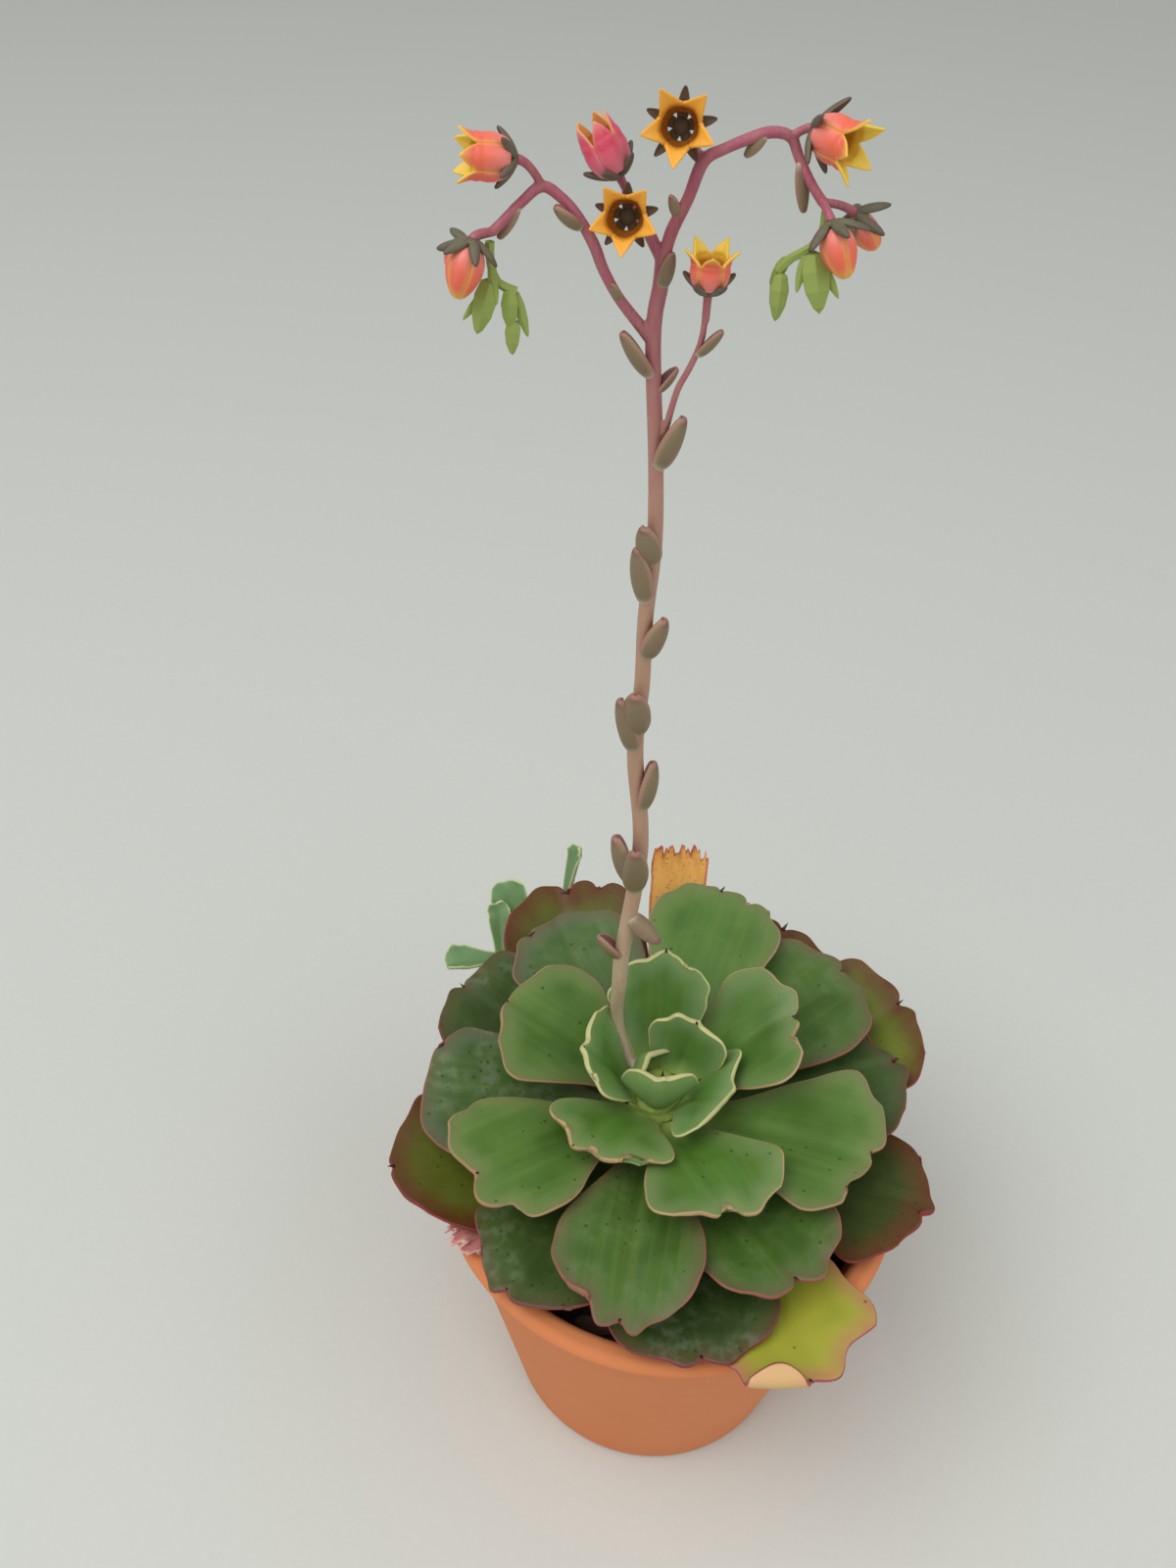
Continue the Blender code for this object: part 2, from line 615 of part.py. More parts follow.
def point_on(name, place):
    """The point at a height on the stalk, or at an x on a branch."""
    axis = 2 if name == "stalk" else 0
    route = [Vector(point[:3]) for point in ROUTES[name]]
    for start, stop in zip(route, route[1:]):
        share = (place - start[axis]) / (stop[axis] - start[axis])
        if 0 <= share <= 1:
            return start.lerp(stop, share)
    raise ValueError(f"{name} has no point at {place}")


def direction(azimuth, rise):
    level = compass(azimuth) * math.cos(math.radians(rise))
    return level + Vector((0, 0, math.sin(math.radians(rise))))


def make_bract(bract, material, group):
    size = (bract.length, bract.width, bract.width * 0.5)
    heading = direction(bract.azimuth, bract.rise)
    root = point_on(bract.stem, bract.place)
    return fleshy_scale("bract", root, heading, -compass(bract.azimuth), size, material, group)


def make_pedicel(bloom, material, group):
    """A flower's own stalk, which arrives in line with the flower."""
    joint, foot = Vector(bloom.joint), Vector(bloom.foot)
    heading = direction(bloom.azimuth, bloom.rise)
    stop = foot - heading * GAP
    bend = stop - heading * (stop - joint).length * 0.3
    route = []
    for i in range(6):
        t = i / 5
        spot = joint * (1 - t) ** 2 + bend * 2 * t * (1 - t) + stop * t * t
        route.append((*spot, 0.75))
    return tube("pedicel", route, material, group, fineness=1)


def make_flower_stalk(group):
    """The stalk, its branches, the flowers' own stalks and the bracts grow as one body."""
    material = finish("flower stalk", (0.76, 0.56, 0.48), 0.55)
    stalk = make_stalk_stem("stalk", material, group)
    pieces = [make_stalk_stem(name, material, group) for name in ROUTES if name != "stalk"]
    pieces += [make_pedicel(bloom, material, group) for bloom in BLOOMS]
    pieces += [make_bract(bract, material, group) for bract in BRACTS]
    stalk.name = "flower_stalk"
    stalk.data.name = "flower_stalk"
    return fuse(stalk, pieces)


def bloom_frame(bloom):
    """The foot of a bloom and its axis, with the two level directions across it."""
    heading = direction(bloom.azimuth, bloom.rise)
    side = compass(bloom.azimuth + 90)
    return Vector(bloom.foot), heading, side, heading.cross(side)


def make_calyx(bloom, material, group):
    """A small round receptacle with five spreading sepals."""
    foot, heading, side, up = bloom_frame(bloom)
    bm = bmesh.new()
    bmesh.ops.create_uvsphere(bm, u_segments=6, v_segments=4, radius=1)
    for vertex in bm.verts:
        x, y, z = vertex.co
        wide = bloom.radius * 0.5
        vertex.co = foot + heading * (z + 1) * RECEPTACLE / 2 + (side * x + up * y) * wide
    calyx = object_from(bm, "calyx_" + bloom.name, material, group)
    sepals = []
    for number in range(PETALS):
        angle = math.radians(bloom.turn + 36 + 360 / PETALS * number)
        out = side * math.cos(angle) + up * math.sin(angle)
        root = foot + heading * 0.45 + out * 0.3
        lean = math.radians(66)
        way = heading * math.cos(lean) + out * math.sin(lean)
        size = (bloom.sepal, 2.2, 0.8)
        sepals.append(fleshy_scale("sepal", root, way, heading, size, material, group, sides=4, rings=4))
    return fuse(calyx, sepals)


def make_bud(bloom, material, group):
    """A closed corolla: a five-ridged body that ends in a point."""
    foot, heading, side, up = bloom_frame(bloom)
    start = foot + heading * (RECEPTACLE + GAP)
    bm = bmesh.new()
    bmesh.ops.create_uvsphere(bm, u_segments=2 * PETALS, v_segments=7, radius=1)
    for vertex in bm.verts:
        share = (vertex.co.z + 1) / 2
        angle = math.atan2(vertex.co.y, vertex.co.x)
        swell = 1.83 * share ** 0.5 * (1 - share) ** 0.9
        ridge = 1 + 0.08 * math.cos(PETALS * angle)
        angle += math.radians(bloom.turn)
        out = side * math.cos(angle) + up * math.sin(angle)
        vertex.co = start + heading * share * bloom.length + out * bloom.radius * swell * ridge
    return object_from(bm, "corolla_" + bloom.name, material, group)


def corolla_radius(bloom, share):
    """A corolla swells from its foot, narrows a little and opens to its mouth."""
    body = bloom.radius * (0.6 + 0.4 * math.sin(math.pi * min(share, FLARE_START) / 0.7) ** 0.7)
    if share < FLARE_START:
        return body
    opening = (share - FLARE_START) / (1 - FLARE_START)
    return body + (bloom.mouth - body) * opening ** 1.7


def petal_point(bloom, number, across, share):
    """A point of one petal, as distances along the flower's axis, out from it and around."""
    middle = math.radians(bloom.turn + 360 / PETALS * number)
    half = math.pi / PETALS
    radius = corolla_radius(bloom, share)
    if share <= SPLIT:
        angle = middle + across * half
        ridge = 1 + 0.06 * (1 - abs(across))
        return bloom.length * share, radius * ridge * math.cos(angle), radius * ridge * math.sin(angle)
    free = (share - SPLIT) / (1 - SPLIT)
    neck = corolla_radius(bloom, SPLIT)
    wide = neck * math.sin(half) * across * (1 - free ** 1.7)
    deep = radius - neck * (1 - math.cos(half)) * abs(across) * (1 - free)
    fall = 0.12 * free * free * (bloom.mouth - neck)
    x = deep * math.cos(middle) - wide * math.sin(middle)
    y = deep * math.sin(middle) + wide * math.cos(middle)
    return bloom.length * share - fall, x, y


def make_corolla(bloom, material, group):
    """Five thick petals joined at their foot, with free pointed tips that bend outwards."""
    foot, heading, side, up = bloom_frame(bloom)
    start = foot + heading * (RECEPTACLE + GAP)
    bm = bmesh.new()
    for number in range(PETALS):
        petal = bmesh.ops.create_grid(bm, x_segments=2, y_segments=6, size=1)["verts"]
        for vertex in petal:
            ahead, x, y = petal_point(bloom, number, vertex.co.x, petal_share(vertex.co.y))
            vertex.co = start + heading * ahead + side * x + up * y
    bmesh.ops.remove_doubles(bm, verts=bm.verts, dist=0.02)
    rim = [edge for edge in bm.edges if edge.is_boundary and edge_at(edge, start, heading) < 0.1]
    bmesh.ops.contextual_create(bm, geom=rim)
    bmesh.ops.recalc_face_normals(bm, faces=bm.faces)
    floor = max(bm.faces, key=lambda face: len(face.verts))
    if floor.normal.dot(heading) > 0:
        bmesh.ops.reverse_faces(bm, faces=bm.faces)
    bmesh.ops.triangulate(bm, faces=bm.faces)
    corolla = object_from(bm, "corolla_" + bloom.name, material, group)
    solid = corolla.modifiers.new("Petal", "SOLIDIFY")
    solid.thickness = PETAL_THICKNESS * MM
    solid.offset = -1
    return corolla


def petal_share(y):
    """Rows of a petal's grid: three to the split and three to the tip."""
    row = (y + 1) / 2
    return row * 2 * SPLIT if row <= 0.5 else SPLIT + (row - 0.5) * 2 * (1 - SPLIT)


def edge_at(edge, start, heading):
    return max((vertex.co - start).dot(heading) for vertex in edge.verts)


BLOOM_COLOURS = {
    "pink": (0.80, 0.30, 0.42),
    "top": (0.95, 0.62, 0.18),
    "middle": (0.95, 0.62, 0.18),
}


def make_blooms(group):
    calyx_green = finish("calyx", (0.35, 0.38, 0.28), 0.55)
    for bloom in BLOOMS:
        make_calyx(bloom, calyx_green, group)
        colour = BLOOM_COLOURS.get(bloom.name, (0.90, 0.40, 0.32))
        petal = finish("petals " + bloom.name, colour, 0.5)
        if bloom.mouth:
            make_corolla(bloom, petal, group)
        else:
            make_bud(bloom, petal, group)


def make_bud_cluster(name, group):
    route, scales = CLUSTERS[name]
    material = finish(name, (0.55, 0.62, 0.28), 0.5)
    axis = tube(name, smooth_route(route, 1.6), material, group, fineness=1)
    pieces = []
    for root, tip, width in scales:
        root, tip = Vector(root), Vector(tip)
        thick = width if width > 3 else width * 0.45
        size = ((tip - root).length, width, thick)
        pieces.append(fleshy_scale("bud", root, tip - root, Vector((0, 1, 0)), size, material, group))
    return fuse(axis, pieces)


def make_pup(pup, group):
    """An offset's leaning stem with its few leaves, grown as one body."""
    material = finish(pup.name, (0.42, 0.56, 0.36), 0.5)
    stem = tube(pup.name, smooth_route(pup.route, 5.0), material, group)
    top = pup.route[-1]
    leaves = []
    for number, leaf in enumerate(pup.leaves):
        blade = Blade(leaf, top[2] - 0.6, number, stem=top[:2], clear=0.3)
        body = fleshy_leaf(blade, material, group, thickness=1.6, grid=PUP_GRID)
        apply_modifiers(body)
        leaves.append(body)
    return fuse(stem, leaves)


def make_withered(group):
    dry = finish("withered leaf", (0.70, 0.40, 0.20), 0.8)
    for seat, leaf in WITHERED:
        fleshy_leaf(Blade(leaf, seat, 1), dry, group, thickness=WITHERED_THICKNESS)
    lying = Vector((-23, -43, SOIL_TOP + 0.85))
    fleshy_scale("withered_soil", lying, Vector((1, -0.15, 0.05)), Vector((0, 0, 1)), (11, 6, 1.6), dry, group)


def main():
    clear_scene()
    plant = collection_named("potted_echeveria")
    cutters = collection_named("cutters", hidden=True)
    make_pot(plant, cutters)
    make_soil(plant, cutters)
    make_stem(plant)
    for index, leaf in enumerate(LEAVES):
        blade = Blade(leaf, seat_height(index), index)
        fleshy_leaf(blade, finish(leaf.name, (0.35, 0.5, 0.3), 0.5), plant)
    make_withered(plant)
    for pup in PUPS:
        make_pup(pup, plant)
    make_flower_stalk(plant)
    make_blooms(plant)
    for name in CLUSTERS:
        make_bud_cluster(name, plant)


main()
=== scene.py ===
"""A flowering echeveria in a terracotta pot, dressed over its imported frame.

Sizes are in millimetres, and MM turns them to metres where a mesh is made. The sections follow
the plant as it is put together: pot, soil, stem, leaves, offsets, stalk, flowers, then the studio.
"""

import math
import random
from collections import namedtuple

import bmesh
import bpy
import numpy as np
from mathutils import Matrix, Quaternion, Vector, noise


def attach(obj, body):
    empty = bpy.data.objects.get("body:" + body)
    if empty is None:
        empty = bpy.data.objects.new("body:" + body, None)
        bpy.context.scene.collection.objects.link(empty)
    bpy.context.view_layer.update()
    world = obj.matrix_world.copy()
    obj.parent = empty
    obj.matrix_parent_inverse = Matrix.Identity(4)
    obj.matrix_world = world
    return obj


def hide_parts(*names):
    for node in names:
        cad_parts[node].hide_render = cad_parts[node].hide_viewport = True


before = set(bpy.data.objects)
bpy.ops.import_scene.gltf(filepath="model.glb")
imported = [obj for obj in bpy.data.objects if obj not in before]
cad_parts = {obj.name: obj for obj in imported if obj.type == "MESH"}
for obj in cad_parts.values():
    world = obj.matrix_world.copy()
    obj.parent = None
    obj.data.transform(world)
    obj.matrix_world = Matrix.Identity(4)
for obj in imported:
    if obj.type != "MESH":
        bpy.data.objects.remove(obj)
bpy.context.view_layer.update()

# The pot: a plain 12 cm flower pot, turned in red clay and fired without a glaze.
# Its wall tapers straight down from a slim lip, which a finger rounded while the clay was
# wet, and four drain holes are pierced in its base.
MM = 0.001
RIM_RADIUS = 60.0
POT_HEIGHT = 91.6
BASE_RADIUS = 39.5
LIP_SWELL = 2.4
LIP_HEIGHT = 7.0
LIP_ROUND = 2.6
LIP_RIDGE = 0.35
WALL = 4.0
FLOOR = 5.0
POT_STEPS = 192
DRAIN_RADIUS = 4.0
DRAIN_RING = 20.0
DRAIN_COUNT = 4


def smooth_step(x):
    x = np.clip(x, 0.0, 1.0)
    return x * x * (3 - 2 * x)


def colour(code):
    """An sRGB hex value as linear red, green, blue and alpha."""
    parts = [int(code[i : i + 2], 16) / 255 for i in (1, 3, 5)]
    linear = [((c + 0.055) / 1.055) ** 2.4 if c > 0.04045 else c / 12.92 for c in parts]
    return (*linear, 1.0)


def add(tree, kind, inputs=None, **settings):
    """Adds a node, makes its settings, and sets each input to a value or links it to a socket."""
    node = tree.nodes.new(kind)
    for name, value in settings.items():
        setattr(node, name, value)
    for key, value in (inputs or {}).items():
        if isinstance(key, int):
            socket = node.inputs[key]
        else:
            socket = next(s for s in node.inputs if s.enabled and s.name == key)
        if isinstance(value, bpy.types.Node):
            value = next(s for s in value.outputs if s.enabled)
        if isinstance(value, bpy.types.NodeSocket):
            tree.links.new(value, socket)
        else:
            socket.default_value = value
    return node


def blank_material(name):
    """A material with an empty tree: the shader and its output are added with the pattern."""
    material = bpy.data.materials.new(name)
    material.use_nodes = True
    material.node_tree.nodes.clear()
    return material, material.node_tree


def show(piece, slot, *nodes):
    """Puts a finished piece on the plant's one body, in place of the frame's plain solids."""
    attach(piece, "root")
    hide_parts(*nodes)
    return piece


def object_of(mesh, name, material=None):
    if material:
        mesh.materials.clear()
        mesh.materials.append(material)
    obj = bpy.data.objects.new(name, mesh)
    bpy.context.scene.collection.objects.link(obj)
    return obj


def apply_modifiers(obj):
    """Replaces an object's mesh with the shape that its modifiers give."""
    graph = bpy.context.evaluated_depsgraph_get()
    mesh = bpy.data.meshes.new_from_object(obj.evaluated_get(graph))
    mesh.name = obj.name
    obj.modifiers.clear()
    obj.data = mesh
    return obj


def turned(name, profile, steps, material, crease=35):
    """A profile of (radius, height) points in millimetres, turned about the Z axis."""
    bm = bmesh.new()
    ring = [bm.verts.new((radius * MM, 0, height * MM)) for radius, height in profile]
    edges = [bm.edges.new(pair) for pair in zip(ring, ring[1:])]
    bmesh.ops.spin(
        bm, geom=ring + edges, cent=(0, 0, 0), axis=(0, 0, 1), angle=2 * math.pi, steps=steps, use_merge=True
    )
    bmesh.ops.remove_doubles(bm, verts=bm.verts, dist=0.000001)
    bmesh.ops.recalc_face_normals(bm, faces=bm.faces)
    mesh = bpy.data.meshes.new(name)
    bm.to_mesh(mesh)
    bm.free()
    mesh.shade_smooth()
    mesh.set_sharp_from_angle(angle=math.radians(crease))
    return object_of(mesh, name, material)


def taper_radius(height):
    """The radius of the pot's plain taper, which the inside keeps up to the lip."""
    return BASE_RADIUS + (RIM_RADIUS - LIP_SWELL - BASE_RADIUS) * height / POT_HEIGHT


def arc(centre, radius, first, last, count):
    """Points of a circle about (radius, height), from one angle to another in degrees."""
    angles = [math.radians(first + (last - first) * i / count) for i in range(count + 1)]
    return [(centre[0] + radius * math.cos(a), centre[1] + radius * math.sin(a)) for a in angles]


def pot_profile():
    """The pot's section: floor, inside, rounded lip with a faint outer ridge, side and foot."""
    middle = POT_HEIGHT - LIP_ROUND
    inner = (taper_radius(POT_HEIGHT) - WALL + LIP_ROUND, middle)
    outer = (RIM_RADIUS - LIP_ROUND, middle)
    points = [(0, FLOOR)]
    points += arc((BASE_RADIUS - WALL - 2, FLOOR + 2), 2, -90, 0, 6)
    for i in range(1, 13):
        height = FLOOR + 2 + (middle - FLOOR - 4) * i / 12
        points.append((taper_radius(height) - WALL, height))
    points += arc(inner, LIP_ROUND, 180, 90, 10) + arc(outer, LIP_ROUND, 90, 0, 14)
    lip_foot = POT_HEIGHT - LIP_HEIGHT
    for i in range(1, 15):
        height = middle + (lip_foot - middle) * i / 14
        swell = LIP_SWELL * float(smooth_step((height - lip_foot) / (LIP_HEIGHT - LIP_ROUND)))
        ridge = LIP_RIDGE * math.exp(-(((height - middle + 1.2) / 0.6) ** 2))
        points.append((taper_radius(height) + swell + ridge, height))
    for i in range(1, 25):
        height = lip_foot + (1.6 - lip_foot) * i / 24
        points.append((taper_radius(height), height))
    points += arc((BASE_RADIUS - 1.6, 1.6), 1.6, 0, -90, 5) + [(0, 0)]
    return points


def fired_clay():
    """Unglazed terracotta, turned: matte and a little sandy, with faint rings from the wheel."""
    material, tree = blank_material("unglazed terracotta, turned")
    spot = add(tree, "ShaderNodeTexCoord").outputs["Object"]
    cloud = add(tree, "ShaderNodeTexNoise", {"Vector": spot, "Scale": 1 / 0.035, "Detail": 3.0})
    rings_spot = add(tree, "ShaderNodeVectorMath", {0: spot, 1: (0.02, 0.02, 1.0)}, operation="MULTIPLY")
    rings = add(tree, "ShaderNodeTexNoise", {"Vector": rings_spot, "Scale": 1 / 0.0011, "Detail": 2.0})
    sand = add(tree, "ShaderNodeTexNoise", {"Vector": spot, "Scale": 1 / 0.0005, "Detail": 2.0})
    grit = add(tree, "ShaderNodeTexVoronoi", {"Vector": spot, "Scale": 1 / 0.004})
    speck = add(tree, "ShaderNodeMapRange", {"Value": grit, "From Min": 0.13, "From Max": 0.05})
    warm = add(tree, "ShaderNodeMix", {"Factor": cloud, "A": colour("#DA8350"), "B": colour("#E28F5E")}, data_type="RGBA")
    ringed = add(
        tree, "ShaderNodeMix", {"Factor": rings, "A": warm, "B": colour("#CC7644")}, data_type="RGBA"
    )
    half = add(tree, "ShaderNodeMix", {"Factor": 0.35, "A": warm, "B": ringed}, data_type="RGBA")
    faint = add(tree, "ShaderNodeMath", {0: speck, 1: 0.25}, operation="MULTIPLY")
    speckled = add(tree, "ShaderNodeMix", {"Factor": faint, "A": half, "B": colour("#E6A884")}, data_type="RGBA")
    height = add(tree, "ShaderNodeMath", {0: rings, 1: 1.5, 2: sand}, operation="MULTIPLY_ADD")
    bump = add(tree, "ShaderNodeBump", {"Strength": 0.25, "Distance": 0.0002, "Height": height})
    rough = add(tree, "ShaderNodeMapRange", {"Value": sand, "To Min": 0.68, "To Max": 0.86})
    shader = add(
        tree,
        "ShaderNodeBsdfPrincipled",
        {"Base Color": speckled, "Roughness": rough, "Normal": bump, "Specular IOR Level": 0.35},
    )
    add(tree, "ShaderNodeOutputMaterial", {"Surface": shader})
    return material


def pierce(obj, x, y, radius, bottom, top):
    """Cuts one upright round hole through an object."""
    bm = bmesh.new()
    bmesh.ops.create_cone(bm, cap_ends=True, segments=48, radius1=radius * MM, radius2=radius * MM, depth=(top - bottom) * MM)
    bmesh.ops.translate(bm, vec=Vector((x, y, (top + bottom) / 2)) * MM, verts=bm.verts)
    mesh = bpy.data.meshes.new("drill")
    bm.to_mesh(mesh)
    bm.free()
    drill = object_of(mesh, "drill")
    cut = obj.modifiers.new("Hole", "BOOLEAN")
    cut.object = drill
    apply_modifiers(obj)
    bpy.data.objects.remove(drill, do_unlink=True)


pot = turned("terracotta_pot", pot_profile(), POT_STEPS, fired_clay())
for number in range(DRAIN_COUNT):
    hole_angle = math.radians(45 + 360 / DRAIN_COUNT * number)
    pierce(pot, DRAIN_RING * math.cos(hole_angle), DRAIN_RING * math.sin(hole_angle), DRAIN_RADIUS, -4, FLOOR + 4)
show(pot, "terracotta", "pot")

# The soil: dark peat compost with bark crumbs, filled by hand to a little below the rim.
# It is a lumpy disc over a plain body, and loose crumbs of many sizes lie on it.
SOIL_TOP = 80.0
SOIL_LUMP = 1.1
LUMP_SIZE = 9.0
SOIL_RINGS = 44
SOIL_STEPS = 140
CRUMB_SIZE = 1.5
CRUMBS_PER_AREA = 0.33
STEM_X = -4.0
STEM_Y = 9.0
GAP = 0.3


def peat():
    """Potting compost: near black when moist, with browner dry fibres and bark."""
    material, tree = blank_material("peat compost, loose")
    spot = add(tree, "ShaderNodeTexCoord").outputs["Object"]
    clods = add(tree, "ShaderNodeTexNoise", {"Vector": spot, "Scale": 1 / 0.006, "Detail": 5.0})
    fine = add(tree, "ShaderNodeTexNoise", {"Vector": spot, "Scale": 1 / 0.0009, "Detail": 3.0})
    dry = add(tree, "ShaderNodeMapRange", {"Value": fine, "From Min": 0.52, "From Max": 0.75})
    dark = add(tree, "ShaderNodeMix", {"Factor": clods, "A": colour("#0F0B08"), "B": colour("#2A1D13")}, data_type="RGBA")
    mixed = add(tree, "ShaderNodeMix", {"Factor": dry, "A": dark, "B": colour("#4A3424")}, data_type="RGBA")
    bump = add(tree, "ShaderNodeBump", {"Strength": 0.8, "Distance": 0.0006, "Height": fine})
    shader = add(tree, "ShaderNodeBsdfPrincipled", {"Base Color": mixed, "Roughness": 0.95, "Normal": bump})
    add(tree, "ShaderNodeOutputMaterial", {"Surface": shader})
    return material


def crumb_tree():
    """Strews angular crumbs over the upper faces of a mesh and joins them to it."""
    tree = bpy.data.node_groups.new("strewn crumbs", "GeometryNodeTree")
    for name, kind, start in (
        ("Geometry", "NodeSocketGeometry", None),
        ("Crumb size", "NodeSocketFloat", 0.001),
        ("Crumbs per area", "NodeSocketFloat", 1e5),
        ("Finish", "NodeSocketMaterial", None),
    ):
        socket = tree.interface.new_socket(name, in_out="INPUT", socket_type=kind)
        if start is not None:
            socket.default_value = start
    tree.interface.new_socket("Geometry", in_out="OUTPUT", socket_type="NodeSocketGeometry")
    given = add(tree, "NodeGroupInput").outputs
    normal = add(tree, "GeometryNodeInputNormal")
    upright = add(tree, "ShaderNodeSeparateXYZ", {0: normal}).outputs["Z"]
    level = add(tree, "FunctionNodeCompare", {"A": upright, "B": 0.7}, data_type="FLOAT", operation="GREATER_THAN")
    spots = add(
        tree,
        "GeometryNodeDistributePointsOnFaces",
        {"Mesh": given["Geometry"], "Selection": level, "Density": given["Crumbs per area"], "Seed": 7},
    )
    lump = add(tree, "GeometryNodeMeshIcoSphere", {"Radius": 0.5, "Subdivisions": 1})
    share = add(tree, "FunctionNodeRandomValue", {"Min": 0.15, "Max": 1.0, "Seed": 3}, data_type="FLOAT")
    squared = add(tree, "ShaderNodeMath", {0: share, 1: 2.2}, operation="POWER")
    size = add(tree, "ShaderNodeMath", {0: squared, 1: given["Crumb size"]}, operation="MULTIPLY")
    squash = add(
        tree,
        "FunctionNodeRandomValue",
        {"Min": (0.6, 0.6, 0.4), "Max": (1.6, 1.2, 1.0), "Seed": 5},
        data_type="FLOAT_VECTOR",
    )
    scale = add(tree, "ShaderNodeVectorMath", {0: squash, "Scale": size}, operation="SCALE")
    turn = add(
        tree, "FunctionNodeRandomValue", {"Max": (6.28, 6.28, 6.28), "Seed": 9}, data_type="FLOAT_VECTOR"
    )
    rotation = add(tree, "FunctionNodeEulerToRotation", {0: turn})
    placed = add(
        tree,
        "GeometryNodeInstanceOnPoints",
        {"Points": spots, "Instance": lump, "Rotation": rotation, "Scale": scale},
    )
    real = add(tree, "GeometryNodeRealizeInstances", {0: placed})
    both = add(tree, "GeometryNodeJoinGeometry", {0: real})
    tree.links.new(given["Geometry"], both.inputs[0])
    finished = add(tree, "GeometryNodeSetMaterial", {"Geometry": both, "Material": given["Finish"]})
    add(tree, "NodeGroupOutput", {0: finished})
    return tree


def grow(obj, tree, **values):
    """Runs a Geometry Nodes tree on an object with these inputs and keeps the plain mesh."""
    modifier = obj.modifiers.new(tree.name, "NODES")
    modifier.node_group = tree
    sockets = {item.name: item.identifier for item in tree.interface.items_tree if item.in_out == "INPUT"}
    for name, value in values.items():
        modifier[sockets[name.replace("_", " ")]] = value
    return apply_modifiers(obj)


def soil_profile():
    edge = taper_radius(SOIL_TOP) - WALL - GAP
    points = [(edge * i / SOIL_RINGS, SOIL_TOP) for i in range(SOIL_RINGS + 1)]
    points += [(taper_radius(FLOOR + 3) - WALL - GAP, FLOOR + 3)]
    return points + [(BASE_RADIUS - WALL - GAP - 2, FLOOR + GAP), (0, FLOOR + GAP)]


def soil_height(x, y):
    """How far the soil's lumps rise or fall at a point, in millimetres."""
    broad = noise.noise(Vector((x, y, 0)) / LUMP_SIZE)
    fine = noise.noise(Vector((x, y, 40)) / 2.4)
    return SOIL_LUMP * (broad + 0.45 * fine)


compost = peat()
soil = turned("potting_compost", soil_profile(), SOIL_STEPS, compost)
soil_edge = taper_radius(SOIL_TOP) - WALL - GAP
for vertex in soil.data.vertices:
    x, y, z = vertex.co / MM
    if z > SOIL_TOP - 0.1 and math.hypot(x, y) < soil_edge - 0.5:
        vertex.co.z += soil_height(x, y) * MM
grow(soil, crumb_tree(), Crumb_size=CRUMB_SIZE * MM, Crumbs_per_area=CRUMBS_PER_AREA / MM**2, Finish=compost)
show(soil, "potting_soil", "soil")

# The stem: the short, thick, woody foot of the plant, grey-brown and corky.
# It carries every leaf, and rows of pale scars mark where older leaves have dropped.
STEM_RADIUS = 7.0
STEM_FOOT = 68.0
STEM_SHOULDER = 104.0
STEM_TOP = 112.0
SCAR_ROWS = 9


def stem_radius(height):
    """The short stem is a column with a domed top."""
    if height <= STEM_SHOULDER:
        return STEM_RADIUS
    share = (height - STEM_SHOULDER) / (STEM_TOP - STEM_SHOULDER)
    return STEM_RADIUS * math.sqrt(max(1 - share * share, 0))


def corky_bark():
    """Old stem bark: dry, matte, grey-brown, with fine cracks along it, and green at its growing top."""
    material, tree = blank_material("corky stem bark")
    spot = add(tree, "ShaderNodeTexCoord").outputs["Object"]
    drawn = add(tree, "ShaderNodeVectorMath", {0: spot, 1: (1, 1, 0.3)}, operation="MULTIPLY")
    cracks = add(tree, "ShaderNodeTexNoise", {"Vector": drawn, "Scale": 1 / 0.0012, "Detail": 4.0})
    tone = add(tree, "ShaderNodeMix", {"Factor": cracks, "A": colour("#4A3E2E"), "B": colour("#8B7A5E")}, data_type="RGBA")
    height = add(tree, "ShaderNodeSeparateXYZ", {0: spot}).outputs["Z"]
    young = add(tree, "ShaderNodeMapRange", {"Value": height, "From Min": 0.094, "From Max": 0.102})
    green = add(tree, "ShaderNodeMix", {"Factor": cracks, "A": colour("#8FA648"), "B": colour("#B4C46A")}, data_type="RGBA")
    tone = add(tree, "ShaderNodeMix", {"Factor": young, "A": tone, "B": green}, data_type="RGBA")
    bump = add(tree, "ShaderNodeBump", {"Strength": 0.6, "Distance": 0.0005, "Height": cracks})
    shader = add(tree, "ShaderNodeBsdfPrincipled", {"Base Color": tone, "Roughness": 0.9, "Normal": bump})
    add(tree, "ShaderNodeOutputMaterial", {"Surface": shader})
    return material


stem_heights = np.linspace(STEM_TOP, STEM_FOOT, 60)
stem_profile = [(stem_radius(h) * (1 - 0.04 * math.cos(h * SCAR_ROWS / 6)), h) for h in stem_heights]
stem = turned("woody_stem", stem_profile + [(0, STEM_FOOT)], 48, corky_bark())
for vertex in stem.data.vertices:
    ripple = 1 + 0.05 * noise.noise(vertex.co / (2.5 * MM))
    vertex.co.x = vertex.co.x * ripple + STEM_X * MM
    vertex.co.y = vertex.co.y * ripple + STEM_Y * MM
show(stem, "old_stem", "stem")

# The rosette: 28 living leaves, fleshy and cool to the touch, each a narrow foot that flares
# to a round end with a hard little thorn. The young ones stand in the heart, green under a
# pale wax, and the old ones lie lowest and redden in the sun.
LOWEST_SEAT = 86.0
HIGHEST_SEAT = 110.5
LEAF_FLESH = 2.6
LEAF_EDGE_SHARE = 0.28
EDGE_ROUND = 0.36
SHAFT_ROWS = 0.62
LEAF_ROWS = 70
LEAF_COLUMNS = 60
VALLEY = 0.06
GROOVE = 0.03

